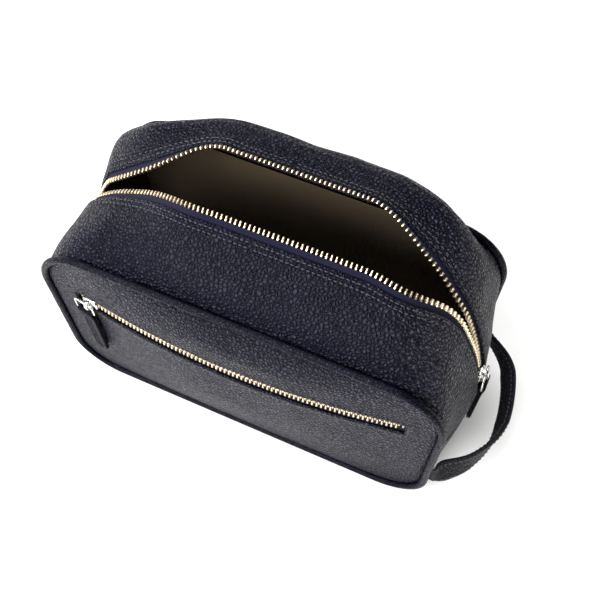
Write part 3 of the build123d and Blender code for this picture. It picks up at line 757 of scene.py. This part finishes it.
def panel_rows(inset, slot):
    """Heights of the rows of a panel, close together at its edges and at the slot."""
    low = [FOOT_Z - (LOW_R - inset) * math.cos(math.radians(a)) for a in (0, 3, 6, 10, 15, 22, 30, 40,
        52, 66, 78)]
    high = [CORNER_Z + (TOP_R - inset) * math.sin(math.radians(a)) for a in (8, 16, 24, 33, 42, 51, 60,
        68, 75, 80, 84, 87, 90)]
    if not slot:
        return low + list(np.linspace(FOOT_Z, CORNER_Z, 24)) + high
    upper = [POCKET_Z + SLOT_Z + step for step in SLOT_STEPS if POCKET_Z + SLOT_Z + step < high[0] - 0.5]
    lower = [POCKET_Z - SLOT_Z - step for step in reversed(SLOT_STEPS)]
    high = [z for z in high if z > upper[-1] + 0.5]
    return low + list(np.linspace(FOOT_Z, lower[0] - 3, 18)) + lower + [POCKET_Z - 2,
        POCKET_Z + 2] + upper + high


def panel_columns(inset, slot):
    """Shares of the half width at which the columns of a panel stand."""
    full = HALF - inset
    places = [full - step for step in EDGE_STEPS]
    inner = places[-1]
    if slot:
        places += [SLOT_X + step for step in SLOT_STEPS if SLOT_X + step < inner - 1]
        inner = SLOT_X
    places += list(np.linspace(inner - 2.5, 0, 36))
    places = sorted(set(round(p, 4) for p in places))
    return np.array([-p / full for p in reversed(places)] + [p / full for p in places if p > 0])


def build_panel(face):
    """Crowned leather panel; the front one has the pocket's slot with a turned edge."""
    slot = face == "front"
    rows = []
    for z in panel_rows(PANEL_INSET, slot):
        half = half_width(z, PANEL_INSET)
        rows.append([panel_point(face, share * half, z) for share in panel_columns(PANEL_INSET, slot)])

    def outside_slot(middle):
        return not slot or slot_gap(middle[0], middle[2]) > 1e-6

    panel = grid(f"{face}_leather", rows, LEATHER_MAT, keep=outside_slot, flip=face == "back")
    thicken(panel, LEATHER)
    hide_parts(f"{face}_panel")
    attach(panel, "bag")


def surface_frame(where, x, z, along):
    """Frame on a surface given as a function of x and z; along is a step in (x, z)."""
    here = where(x, z)
    ahead = where(x + along[0] * 0.4, z + along[1] * 0.4) - where(x - along[0] * 0.4, z - along[1] * 0.4)
    across = where(x - along[1] * 0.4, z + along[0] * 0.4) - where(x + along[1] * 0.4, z - along[0] * 0.4)
    ahead /= np.linalg.norm(ahead)
    out = np.cross(ahead, across)
    out /= np.linalg.norm(out)
    return here, ahead, np.cross(out, ahead), out


def build_slot_stitching():
    """Line of stitches round the pocket's slot."""
    frames = []
    away = 2.3
    long_x = SLOT_X + away
    long_z = SLOT_Z + away

    def front(x, z):
        return panel_point("front", x, z)

    for x in np.arange(-long_x + 1.5, long_x - 1.0, 3.1):
        for sign in (-1, 1):
            frames.append(surface_frame(front, x, POCKET_Z + sign * long_z, (1, 0)))
    for z in np.arange(-long_z + 1.6, long_z, 3.1):
        for sign in (-1, 1):
            here, ahead, across, out = surface_frame(front, sign * long_x, POCKET_Z + z, (1, 0))
            frames.append((here, across, -ahead, out))
    sewing = many("slot_stitching", STITCH, frames, THREAD_MAT)
    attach(sewing, "bag")


# ---------------------------------------------------------------- piping
def outline_path(inset=0.0, step=4.0):
    """Closed rounded outline of a panel as (x, z)."""
    corners = (
        (CORNER_X, CORNER_Z, TOP_R, 0), (-CORNER_X, CORNER_Z, TOP_R, 90),
        (-FOOT_X, FOOT_Z, LOW_R, 180), (FOOT_X, FOOT_Z, LOW_R, 270),
    )
    points = []
    for x, z, radius, first in corners:
        for angle in np.linspace(first, first + 90, 22):
            turn = math.radians(angle)
            points.append((x + (radius - inset) * math.cos(turn), z + (radius - inset) * math.sin(turn)))
    filled = []
    for here, after in zip(points, points[1:] + points[:1]):
        length = math.dist(here, after)
        count = max(1, int(length / step))
        for i in range(count):
            t = i / count
            filled.append((here[0] + (after[0] - here[0]) * t, here[1] + (after[1] - here[1]) * t))
    return filled


def build_piping(face):
    """Leather-covered cord sewn into the seam round a panel."""
    path = [(x, SIGN[face] * SEAM_Y, z) for x, z in outline_path()]
    piping = made(f"{face}_cord", tube_shape(path, PIPE, sides=20, closed=True, up=(0, 1, 0)), PIPING_MAT)
    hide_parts(f"{face}_piping")
    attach(piping, "bag")


# ---------------------------------------------------------------- ends and base
def gusset_point(side, station, y, depth):
    """Point of an end: station is a height, or ("foot", degrees below the horizontal)."""
    share = fullness(y)
    if not isinstance(station, tuple):
        return np.array([side * (HALF + share * swell_on_end(station) - depth), y, station])
    angle = -math.radians(station[1])
    reach = LOW_R + share * swell_on_end(FOOT_Z) * math.cos(angle) - depth + PIPE * math.sin(angle) ** 2
    return np.array([side * (FOOT_X + reach * math.cos(angle)), y, FOOT_Z + reach * math.sin(angle)])


def band_profile(edge, thick, roll=2.0):
    """Cross-section of a band from seam to seam as (y, depth), rolled in at both edges."""
    half = [0.0, 8, 16, 24, 32, 40, 46, 50, edge - 3.6, edge - 2.6, edge - 1.7, edge - 1.0, edge - 0.4,
        edge]
    outer = [(y, roll * max(0.0, 1 - (edge - y) / 4.4) ** 2) for y in half]
    upper = [(-y, d) for y, d in reversed(outer)] + outer[1:]
    lower = [(edge - 0.5, thick + roll * 0.8)] + [(y, thick) for y in (46, 32, 16, 0, -16, -32, -46)]
    lower += [(0.5 - edge, thick + roll * 0.8)]
    return upper + lower


def build_end(side_name):
    """Leather end of the bag, from the base round the foot corner up to the top strip."""
    side = SIDE[side_name]
    top = STRIP_FOOT_Z - 0.1
    stations = [top, top - 0.3, top - 0.9, top - 1.8] + list(np.linspace(top - 4, FOOT_Z, 20))
    stations += [("foot", a) for a in np.linspace(6, 90, 15)]
    rings = []
    for number, station in enumerate(stations):
        ring = []
        tuck = (1.1, 0.5, 0.15, 0.0)[number] if number < 4 else 0.0
        for y, depth in band_profile(STRIP_Y + 1.2, LEATHER):
            if depth < LEATHER and abs(y) < STRIP_Y:
                point = gusset_point(side, station, y, depth)
                wave = lumps(point, 30.0, 0.9, 4.0) * fullness(y)
                if isinstance(station, tuple):
                    wave *= math.cos(math.radians(station[1]))
                point = gusset_point(side, station, y, depth + tuck - wave)
            else:
                point = gusset_point(side, station, y, depth)
            ring.append(point)
        rings.append(ring)
    gusset = made(f"{side_name}_end_leather", loft_shape(rings), LEATHER_MAT)
    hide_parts(f"{side_name}_end_gusset")
    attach(gusset, "bag")
    frames = []
    for y in np.arange(-STRIP_Y + 4, STRIP_Y - 3, 3.1):
        here = gusset_point(side, top - 2.6, y, -0.02)
        along = gusset_point(side, top - 2.6, y + 0.4, 0) - gusset_point(side, top - 2.6, y - 0.4, 0)
        up = gusset_point(side, top - 2.2, y, 0) - gusset_point(side, top - 3.0, y, 0)
        along /= np.linalg.norm(along)
        out = np.cross(along, up) * side
        out /= np.linalg.norm(out)
        frames.append((here, along, np.cross(out, along), out))
    sewing = many(f"{side_name}_end_stitching", STITCH, frames, THREAD_MAT)
    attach(sewing, "bag")


def build_base():
    """Leather base between the two ends."""
    low = node_box("base_panel")[0]
    rings = []
    for x in np.linspace(-FOOT_X - 0.2, FOOT_X + 0.2, 60):
        ring = []
        for y, depth in band_profile(STRIP_Y + 1.2, LEATHER, 1.4):
            ring.append((x, y, low[2] + depth))
        rings.append(ring)
    base = made("base_leather", loft_shape(rings), LEATHER_MAT)
    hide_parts("base_panel")
    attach(base, "bag")


# ---------------------------------------------------------------- lining
def build_wall_lining(face):
    """Cloth lining behind a panel, a little slack and creased."""
    low, high = node_box(f"{face}_lining")
    y_inner = (low[1] + high[1]) / 2
    inset = 4.4
    rows = []
    for z in panel_rows(inset, False):
        half = half_width(z, inset)
        row = []
        for share in np.linspace(-1, 1, 90):
            x = share * half
            gap = edge_gap(x, z) - inset
            calm = min(1.0, max(0.0, gap) / 12)
            wave = lumps((x, 0, z), 34.0, 1.6,
                9.0) + 0.5 * math.sin(x / 9.0 + 2 * lumps((x, 0, z), 40.0, 1.0, 2.0))
            slack = SIGN[face] * calm * (-1.0 - wave * 0.7)
            hem = SIGN[face] * 1.2 * max(0.0, 1 - gap / 5) ** 2
            row.append((x, y_inner + slack + hem, z))
        rows.append(row)
    lining = grid(f"{face}_lining_cloth", rows, LINING_MAT, flip=face == "front")
    thicken(lining, 0.7)
    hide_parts(f"{face}_lining")
    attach(lining, "bag")


def build_end_lining(side_name):
    """Cloth lining of an end."""
    side = SIDE[side_name]
    stations = list(np.linspace(STRIP_FOOT_Z + 3, FOOT_Z, 26)) + [("foot", a) for a in np.linspace(8,
        82, 10)]
    edge = STRIP_Y - 3.4
    rings = []
    for station in stations:
        ring = []
        for y in np.linspace(-edge, edge, 30):
            point = gusset_point(side, station, y, 3.3)
            ring.append(gusset_point(side, station, y,
                3.4 + 0.8 * fullness(y) + lumps(point, 22.0, 0.7, 6.0)))
        rings.append(ring)
    lining = grid(f"{side_name}_lining_cloth", rings, LINING_MAT, flip=side < 0)
    thicken(lining, 0.7)
    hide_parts(f"{side_name}_end_lining")
    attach(lining, "bag")


def build_base_lining():
    """Cloth lining over the base board."""
    low, high = node_box("base_lining")
    rows = []
    for y in np.linspace(low[1], high[1], 40):
        row = []
        for x in np.linspace(-FOOT_X - 6, FOOT_X + 6, 80):
            calm = min(1.0, (FOOT_X + 6 - abs(x)) / 10, (high[1] - abs(y)) / 8)
            row.append((x, y, low[2] + 0.5 + max(0.0, calm) * (0.6 + lumps((x, y, 0), 28.0, 0.8, 8.0))))
        rows.append(row)
    lining = grid("base_lining_cloth", rows, LINING_MAT)
    thicken(lining, 0.6)
    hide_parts("base_lining")
    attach(lining, "bag")


# ---------------------------------------------------------------- pocket zip
CHAIN_R = CROWN_R - CHAIN_DEPTH
RING_RISE = 4.8
POCKET_BAR = np.array(joint("pocket_ring_swing")["pos_m"]) / MM
POCKET_EYE = np.array(joint("pocket_tab_lift")["pos_m"]) / MM
POCKET_ANGLE = math.asin(POCKET_BAR[0] / (CHAIN_R + RING_RISE))


def pocket_frame(angle, z, rise=0.0):
    """Frame on the pocket zip's arc, angle in radians: X along the zip, Y up, Z outwards."""
    radius = CHAIN_R + rise
    origin = np.array([radius * math.sin(angle), POCKET_Y - radius * math.cos(angle), z])
    along = np.array([math.cos(angle), math.sin(angle), 0.0])
    out = np.array([math.sin(angle), -math.cos(angle), 0.0])
    return origin, along, np.array([0.0, 0.0, 1.0]), out


def build_pocket_tape(row):
    """Woven tape with a corded edge along one side of the pocket's slot."""
    low, high = node_box(f"pocket_{row}_tape")
    sign = 1 if row == "upper" else -1
    reach = high[2] - low[2] + 0.4
    profile = [(2.6, 0.0), (2.8, 0.6), (3.5, 0.6), (3.9, 0.3), (4.6, 0.22), (reach + 2, 0.22)]
    profile += [(reach + 2, -0.22), (4.6, -0.22), (3.9, -0.3), (3.5, -0.6), (2.8, -0.6)]
    span = math.asin((SLOT_X + 3) / CHAIN_R)
    rings = []
    for angle in np.linspace(-span, span, 90):
        origin, _, up, out = pocket_frame(angle, POCKET_Z)
        rings.append([origin + up * sign * y + out * z for y, z in profile])
    tape = made(f"pocket_{row}_tape_cloth", loft_shape(rings), TAPE_MAT)
    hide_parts(f"pocket_{row}_tape")
    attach(tape, "bag")


def build_pocket_teeth(row):
    """One row of the pocket zip's teeth, interlocked with the other."""
    sign = 1 if row == "upper" else -1
    step = PITCH / CHAIN_R
    span = math.asin((SLOT_X - 3.5) / CHAIN_R)
    frames = []
    angle = -span + (step / 2 if sign > 0 else 0.0)
    while angle < span:
        if angle > POCKET_ANGLE - 1.0 / CHAIN_R:
            origin, along, up, out = pocket_frame(angle, POCKET_Z + sign * 1.75)
            frames.append((origin, along * -sign, up * -sign * 1.3, out * 1.15))
        angle += step
    teeth = many(f"pocket_{row}_teeth_row", TOOTH, frames, TEETH_MAT)
    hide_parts(f"pocket_{row}_teeth")
    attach(teeth, "bag")


def rounded_block(size, frame, power=3.5):
    """Block with rounded edges, as a shape on a frame."""
    origin, x, y, z = frame
    rings = []
    for turn in np.linspace(-math.pi / 2, math.pi / 2, 9):
        level = math.copysign(abs(math.sin(turn)) ** (2 / power), math.sin(turn)) * size[2] / 2
        shrink = max(0.02, abs(math.cos(turn)) ** (2 / power))
        ring = []
        for around in np.linspace(0, 2 * math.pi, 20, endpoint=False):
            c, s = math.cos(around), math.sin(around)
            px = math.copysign(abs(c) ** (2 / power), c) * size[0] / 2 * shrink
            py = math.copysign(abs(s) ** (2 / power), s) * size[1] / 2 * shrink
            ring.append(origin + x * px + y * py + z * level)
        rings.append(ring)
    return loft_shape(rings)


def build_pocket_stops():
    """Metal stops at both ends of the pocket zip."""
    shapes = []
    for sign in (-1, 1):
        angle = math.asin(sign * (SLOT_X - 1.6) / CHAIN_R)
        shapes.append(rounded_block((1.8, 5.6, 2.6), pocket_frame(angle, POCKET_Z)))
    stops = made("pocket_stops", join_shapes(shapes), TEETH_MAT)
    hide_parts("pocket_zip_stops")
    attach(stops, "bag")


def end_frame(side, degrees, y, rise=0.0):
    """Frame on the main zip's circle at an end: X up along the zip, Y across, Z outwards."""
    lean = math.radians(degrees)
    radius = ARC_R - CHAIN_DEPTH + rise
    origin = np.array([side * (ARC_X + radius * math.cos(lean)), y, ARC_Z + radius * math.sin(lean)])
    along = np.array([-side * math.sin(lean), 0.0, math.cos(lean)])
    out = np.array([side * math.cos(lean), 0.0, math.sin(lean)])
    return origin, along, np.cross(out, along), out


def build_main_stops():
    """Bottom stop at the right end and the two top stops at the left end of the main zip."""
    bottom = made("main_bottom_stop", rounded_block((2.2, 6.0, 2.8), end_frame(1, 3.4, 0)), TEETH_MAT)
    pair = [rounded_block((2.0, 2.7, 2.8), end_frame(-1, 3.4, y)) for y in (-1.6, 1.6)]
    tops = made("main_top_stops", join_shapes(pair), TEETH_MAT)
    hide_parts("main_zip_bottom_stop")
    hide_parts("main_zip_top_stops")
    for stop in (bottom, tops):
        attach(stop, "bag")


# ---------------------------------------------------------------- sliders and pulls
def plate(frame, nose, levels):
    """Shield-shaped slider plate; levels are (height, inset) from bottom to top."""
    origin, x, y, z = frame
    rings = []
    for level, inset in levels:
        ring = []
        for around in np.linspace(0, 2 * math.pi, 44, endpoint=False):
            c, s = math.cos(around), math.sin(around)
            px = math.copysign(abs(c) ** 0.6, c) * (6.0 - inset)
            wide = 4.5 if px > 2 else 3.75 + 0.75 * max(0.0, (px + 6) / 8) ** 1.5
            if px > 2:
                wide -= 1.5 * ((px - 2) / 4) ** 2
            py = math.copysign(abs(s) ** 0.6, s) * (wide - inset)
            ring.append(origin + x * nose * px + y * py + z * level)
        rings.append(ring)
    return loft_shape(rings)


def build_slider(name, frame, nose, bridge_along, body):
    """Zip slider: two bevelled plates, turned flanges, post, and an arched bridge for the ring."""
    origin, x, y, z = frame
    top = ((1.95, 0.25), (2.05, 0.0), (2.7, 0.0), (3.0, 0.18), (3.2, 0.6))
    low = ((-3.2, 0.6), (-3.0, 0.18), (-2.7, 0.0), (-2.05, 0.0), (-1.95, 0.25))
    shapes = [plate(frame, nose, top), plate(frame, nose, low)]
    for sign in (-1, 1):
        for level in (-1.55, 1.55):
            path = [origin + x * nose * px + y * sign * 3.55 + z * level for px in (-4.6, -3, -1, 0.6, 1.4)]
            shapes.append(tube_shape(path, 0.42, sides=10, squash=1.6, up=tuple(z)))
    post = []
    for level in (-2.2, -1.0, 0, 1.0, 2.2):
        turn = np.linspace(0, 2 * math.pi, 16, endpoint=False)
        post.append([origin + x * nose * (3.9 + 1.5 * math.cos(a)) + y * 0.85 * math.sin(a) + z * level
            for a in turn])
    shapes.append(loft_shape(post))
    run = x if bridge_along else y
    across = y if bridge_along else x
    reach = 4.0 if bridge_along else 3.5
    arch = []
    for turn in np.linspace(-8, 188, 25):
        c, s = math.cos(math.radians(turn)), math.sin(math.radians(turn))
        along = math.copysign(abs(c) ** 0.62, c) * reach
        rise = 3.0 + 3.55 * math.copysign(abs(s) ** 0.62, s)
        arch.append(origin + run * along + z * rise)
    shapes.append(flat_band(arch, across, 2.3, 0.95))
    slider = made(name, join_shapes(shapes), NICKEL_MAT)
    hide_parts(body)
    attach(slider, body)


def flat_band(path, across, width, thick):
    """Band with rounded edges along a path, its width along one direction."""
    path = np.asarray(path, float)
    rings = []
    for i in range(len(path)):
        along = path[min(i + 1, len(path) - 1)] - path[max(i - 1, 0)]
        along /= np.linalg.norm(along)
        out = np.cross(along, across)
        out /= np.linalg.norm(out)
        ring = []
        for around in np.linspace(0, 2 * math.pi, 16, endpoint=False):
            c, s = math.cos(around), math.sin(around)
            side = math.copysign(abs(c) ** 0.5, c) * width / 2
            lift = math.copysign(abs(s) ** 0.6, s) * thick / 2
            ring.append(path[i] + across * side + out * lift)
        rings.append(ring)
    return loft_shape(rings)


RING_WIDE, RING_LONG, RING_BEND, WIRE = 14.0, 10.0, 2.2, 0.78


def build_ring(name, frame, shift, body, node):
    """Wire ring that hangs from the slider's bridge."""
    origin, x, y, z = frame
    corners = (
        (RING_WIDE / 2 - RING_BEND, -RING_BEND, 0), (-RING_WIDE / 2 + RING_BEND, -RING_BEND, 90),
        (-RING_WIDE / 2 + RING_BEND, -RING_LONG + RING_BEND, 180),
            (RING_WIDE / 2 - RING_BEND, -RING_LONG + RING_BEND, 270),
    )
    path = []
    for cx, cy, first in corners:
        for angle in np.linspace(first, first + 90, 8):
            turn = math.radians(angle)
            px = shift + cx + RING_BEND * math.cos(turn)
            py = cy + RING_BEND * math.sin(turn)
            path.append(origin + x * px + y * py)
    ring = made(name, tube_shape(path, WIRE, sides=14, closed=True, up=tuple(z)), NICKEL_MAT)
    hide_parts(node)
    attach(ring, body)


TAB_WIDE, TAB_LONG, TAB_LAYER = 11.6, 50.0, 1.25


def tab_half(y):
    """Half width of the tab at y below the ring's bar, with rounded lower corners."""
    corner = 4.2
    short = max(0.0, -y - (TAB_LONG - corner))
    return TAB_WIDE / 2 - corner + math.sqrt(max(0.0, corner ** 2 - short ** 2))


def build_tab(name, frame, shift, body, node):
    """Leather tab: one strip folded round the ring's lower bar, its two layers sewn together."""
    origin, x, y, z = frame
    layer = TAB_LAYER / 2 + 0.03
    lift = WIRE + 0.25 + TAB_LAYER / 2
    down = [(-TAB_LONG + TAB_LONG * t, layer) for t in (0.0, 0.004, 0.012, 0.025, 0.045, 0.07, 0.1, 0.2,
        0.35, 0.5, 0.65, 0.78)]
    down += [(-8.0, layer + 0.05), (-5.5, layer + 0.25), (-3.2, lift - 0.35), (-1.4, lift - 0.05)]
    loop = [(lift * math.sin(a), lift * math.cos(a)) for a in np.linspace(0, math.pi, 13)]
    path = down + loop + [(py, -pz) for py, pz in reversed(down)]
    rings = []
    for i, (py, pz) in enumerate(path):
        before = path[max(i - 1, 0)]
        after = path[min(i + 1, len(path) - 1)]
        ty, tz = after[0] - before[0], after[1] - before[1]
        length = math.hypot(ty, tz)
        ny, nz = -tz / length, ty / length
        half = max(1.0, tab_half(py))
        ring = []
        for around in np.linspace(0, 2 * math.pi, 28, endpoint=False):
            c, s = math.cos(around), math.sin(around)
            side = math.copysign(abs(c) ** 0.25, c) * half
            thick = math.copysign(abs(s) ** 0.5, s) * TAB_LAYER / 2
            ring.append(origin + x * (shift + side) + y * (py + ny * thick) + z * (pz + nz * thick))
        rings.append(ring)
    tab = made(name, loft_shape(rings), PULL_MAT)
    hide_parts(node)
    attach(tab, body)
    frames = []
    for px, py, turn in tab_stitch_places():
        ax, ay = math.cos(turn), math.sin(turn)
        along = x * ax + y * ay
        for sign in (-1, 1):
            over = z * sign
            frames.append((origin + x * (shift + px) + y * py + over * (layer + TAB_LAYER / 2), along,
                np.cross(over, along), over))
    sewing = many(f"{name}_stitching", SMALL_STITCH, frames, THREAD_MAT)
    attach(sewing, body)


def tab_stitch_places():
    """Places of the stitches along the tab's border: (x, y, direction)."""
    inset = 1.7
    half = TAB_WIDE / 2 - inset
    corner = 2.6
    low = -TAB_LONG + inset
    path = [(half, -7.5), (half, low + corner)]
    path += [(half - corner + corner * math.cos(a),
        low + corner - corner * math.sin(a)) for a in np.linspace(0.2, math.pi / 2, 6)]
    path += [(-px, py) for px, py in reversed(path)]
    path += [(half, -7.5)]
    places = []
    carry = 1.2
    for here, after in zip(path, path[1:]):
        length = math.dist(here, after)
        turn = math.atan2(after[1] - here[1], after[0] - here[0])
        while carry < length:
            t = carry / length
            places.append((here[0] + (after[0] - here[0]) * t, here[1] + (after[1] - here[1]) * t, turn))
            carry += 2.3
        carry -= length
    return places


def build_main_pull():
    """Slider, ring and tab of the main zip."""
    slider = end_frame(1, 10.0, 0)
    build_slider("main_slider_metal", slider, 1, True, "main_slider")
    bar = slider[0] + slider[3] * RING_RISE
    lean = math.radians(7.0)
    down = np.array([math.sin(lean), 0.0, -math.cos(lean)])
    across = np.array([0.0, 1.0, 0.0])
    out = np.array([math.cos(lean), 0.0, math.sin(lean)])
    build_ring("main_ring_wire", (bar, across, -down, out), 0.0, "main_ring", "main_pull_ring")
    eye = bar + down * RING_LONG
    up = np.array([0.0, 0.0, 1.0])
    build_tab("main_tab_leather", (eye, across, up, np.array([1.0, 0.0, 0.0])), 0.0, "main_tab",
        "main_pull_tab")


def build_pocket_pull():
    """Slider, ring and tab of the pocket zip."""
    slider = pocket_frame(POCKET_ANGLE, POCKET_Z)
    shift = float((POCKET_EYE - POCKET_BAR) @ slider[1])
    build_slider("pocket_slider_metal", slider, -1, False, "pocket_slider")
    bar = slider[0] + slider[3] * RING_RISE
    frame_here = (bar, slider[1], slider[2], slider[3])
    build_ring("pocket_ring_wire", frame_here, shift, "pocket_ring", "pocket_pull_ring")
    eye = bar - slider[2] * RING_LONG
    build_tab("pocket_tab_leather", (eye, slider[1], slider[2], slider[3]), shift, "pocket_tab",
        "pocket_pull_tab")


# ---------------------------------------------------------------- side handle
def smooth_path(points, step=1.6):
    """Smooth curve through points, evenly stepped."""
    points = [np.array(p, float) for p in points]
    padded = [2 * points[0] - points[1]] + points + [2 * points[-1] - points[-2]]
    fine = []
    for a, b, c, d in zip(padded, padded[1:], padded[2:], padded[3:]):
        for t in np.linspace(0, 1, 40, endpoint=False):
            fine.append(0.5 * (2 * b + (c - a) * t + (2 * a - 5 * b + 4 * c - d) * t ** 2
                + (3 * b - a - 3 * c + d) * t ** 3))
    fine.append(points[-1])
    fine = np.array(fine)
    along = np.concatenate([[0], np.cumsum(np.linalg.norm(np.diff(fine, axis=0), axis=1))])
    even = np.linspace(0, along[-1], int(along[-1] / step))
    return np.stack([np.interp(even, along, fine[:, k]) for k in range(3)], axis=1)


HANDLE_LOW, HANDLE_HIGH = node_box("handle_strap_outer")
HANDLE_Z = (HANDLE_LOW[2] + HANDLE_HIGH[2]) / 2
HANDLE_X = joint("handle_swing")["pos_m"][0] / MM
# Strap's middle line as (reach out from the hinge line, y), and how far its upper edge leans out, in degrees.
HANDLE_ROUTE = (
    (-3.9, -55.0), (0.3, -56.0), (4.4, -51.8), (19.0, -38.0), (29.2, -15.0), (28.2, 12.0),
    (20.3, 36.0), (4.2, 51.6), (0.3, 55.8), (-3.9, 54.9),
)
HANDLE_TWIST = ((-58.0, -4.0), (-53.5, -30.0), (-35.0, -7.0), (-5.0, 18.0), (30.0, 17.0), (52.0, -14.0),
    (58.0, -3.0))


def handle_rings():
    """Cross-sections of the strap: centre, up, out, half width and thickness at each step."""
    path = smooth_path([(HANDLE_X + reach, y, HANDLE_Z - 2.0) for reach, y in HANDLE_ROUTE])
    rings = []
    for i, here in enumerate(path):
        along = path[min(i + 1, len(path) - 1)] - path[max(i - 1, 0)]
        along /= np.linalg.norm(along)
        out = np.cross(along, (0, 0, 1.0))
        near = soft_step(here[0], HANDLE_X - 3.5, HANDLE_X + 7)
        turn = np.interp(here[1], [y for y, _ in HANDLE_TWIST], [lean for _, lean in HANDLE_TWIST])
        lean = math.radians(float(turn)) * near
        up = np.array([0, 0, 1.0]) * math.cos(lean) + out * math.sin(lean)
        out = np.cross(along, up)
        rings.append((here, along, up, out, 9.0 - 0.6 * (1 - near), 1.5 + 1.3 * near))
    return rings


def build_handle():
    """Leather side handle: a folded strap with painted edges, sewn along both and caught in the end's seams."""
    sections = handle_rings()
    rings = []
    sides = 32
    for here, along, up, out, half, thick in sections:
        ring = []
        for j in range(sides):
            around = 2 * math.pi * (j + 0.5) / sides
            c, s = math.cos(around), math.sin(around)
            tall = math.copysign(abs(c) ** 0.28, c) * half
            wide = math.copysign(abs(s) ** 0.6, s) * thick / 2
            ring.append(here + up * tall + out * wide)
        rings.append(ring)
    handle = made("handle_strap", loft_shape(rings), HANDLE_MAT)
    handle.data.materials.append(EDGE_MAT)
    for polygon in handle.data.polygons:
        column = sum(index % sides for index in polygon.vertices) / max(1, len(polygon.vertices))
        if len(polygon.vertices) == 4 and (min(abs(column - place) for place in (0, 15.5,
            31)) < 1.2 or column in (15.0, 16.0)):
            polygon.material_index = 1
    frames = []
    for here, along, up, out, half, thick in sections[4:-4:2]:
        for sign in (-1, 1):
            for tall in (-half + 2.3, half - 2.3):
                over = out * sign
                frames.append((here + up * tall + over * (thick / 2 - 0.02), along,
                    np.cross(over, along), over))
    sewing = many("handle_stitching", STITCH, frames, THREAD_MAT)
    for piece in (handle, sewing):
        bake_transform(piece)
    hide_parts("handle_strap_outer", "handle_strap_inner", "handle_front_anchor",
        "handle_back_anchor")


# ---------------------------------------------------------------- whole bag
def build_bag():
    """Every piece of the bag."""
    for face in SIGN:
        for side in SIDE:
            build_top_strip(face, side)
        build_panel(face)
        build_piping(face)
        build_wall_lining(face)
    for side in SIDE:
        build_end(side)
        build_end_lining(side)
    build_slot_stitching()
    build_base()
    build_base_lining()
    for row in ("upper", "lower"):
        build_pocket_tape(row)
        build_pocket_teeth(row)
    build_pocket_stops()
    build_main_stops()
    build_main_pull()
    build_pocket_pull()
    build_handle()
    for node, material in (
        ("pocket_pouch", LINING_MAT),
        ("front_stiffener", BOARD_MAT),
        ("back_stiffener", BOARD_MAT),
        ("base_board", BOARD_MAT),
    ):
        obj = frame["nodes"][node]
        for place in obj.material_slots:
            place.material = material


# ---------------------------------------------------------------- studio
FLOOR_COLOUR = (0.88, 0.875, 0.865, 1)
FLOOR_HALF = 3.0
FLOOR_Z = -0.0004
SKY_STRENGTH = 0.08
# Each soft light as name, place, target, size in metres, and watts.
SOFT_LIGHTS = (
    ("overhead", (-0.25, 0.25, 1.3), (0, 0, 0.05), (1.6, 1.6), 29),
    ("front_box", (-0.35, -1.0, 0.85), (0, 0, 0.08), (1.2, 0.6), 38),
    ("left_box", (-1.2, 0.1, 0.7), (0, 0, 0.08), (0.9, 0.9), 5),
)


def floor_material():
    """Plain pale floor."""
    material, _, shader = start_material("studio_floor")
    shader.inputs["Base Color"].default_value = FLOOR_COLOUR
    shader.inputs["Roughness"].default_value = 0.8
    shader.inputs["Specular IOR Level"].default_value = 0.1
    return material


def soft_light(name, place, target, size, power):
    """Large area light aimed at a point, metres and watts."""
    data = bpy.data.lights.new(name, "AREA")
    data.shape = "RECTANGLE"
    data.size, data.size_y = size
    data.energy = power
    light = bpy.data.objects.new(name, data)
    bpy.context.scene.collection.objects.link(light)
    light.location = place
    light.rotation_euler = (Vector(target) - Vector(place)).to_track_quat("-Z", "Y").to_euler()


def build_studio():
    """Floor, lights and the white room."""
    mesh = bpy.data.meshes.new("floor")
    corners = [(x * FLOOR_HALF, y * FLOOR_HALF, 0) for x, y in ((-1, -1), (1, -1), (1, 1), (-1, 1))]
    mesh.from_pydata(corners, [], [(0, 1, 2, 3)])
    floor = bpy.data.objects.new("floor", mesh)
    bpy.context.scene.collection.objects.link(floor)
    mesh.materials.append(floor_material())
    floor.location = (0, 0, FLOOR_Z)
    for light in SOFT_LIGHTS:
        soft_light(*light)
    world = bpy.data.worlds.new("studio")
    bpy.context.scene.world = world
    world.use_nodes = True
    background = world.node_tree.nodes["Background"]
    background.inputs["Color"].default_value = (1, 1, 1, 1)
    background.inputs["Strength"].default_value = SKY_STRENGTH
    bpy.context.scene.view_settings.view_transform = "Standard"
    bpy.context.scene.view_settings.look = "None"


def build_camera():
    """Camera above and in front of the bag, a little to its right."""
    turn, rise = math.radians(24.05), math.radians(60.20)
    distance, shift_x, shift_y = 0.5972, 0.0159, 0.0420
    back = Vector((math.sin(turn) * math.cos(rise), -math.cos(turn) * math.cos(rise), math.sin(rise)))
    right = Vector((math.cos(turn), math.sin(turn), 0))
    up = back.cross(right)
    data = bpy.data.cameras.new("camera")
    data.lens = 48.0
    data.sensor_width = 36.0
    data.clip_start = 0.01
    camera = bpy.data.objects.new("camera", data)
    bpy.context.scene.collection.objects.link(camera)
    camera.location = back * distance + right * shift_x + up * shift_y
    camera.rotation_euler = back.to_track_quat("Z", "Y").to_euler()
    bpy.context.scene.camera = camera


build_bag()
build_studio()
build_camera()
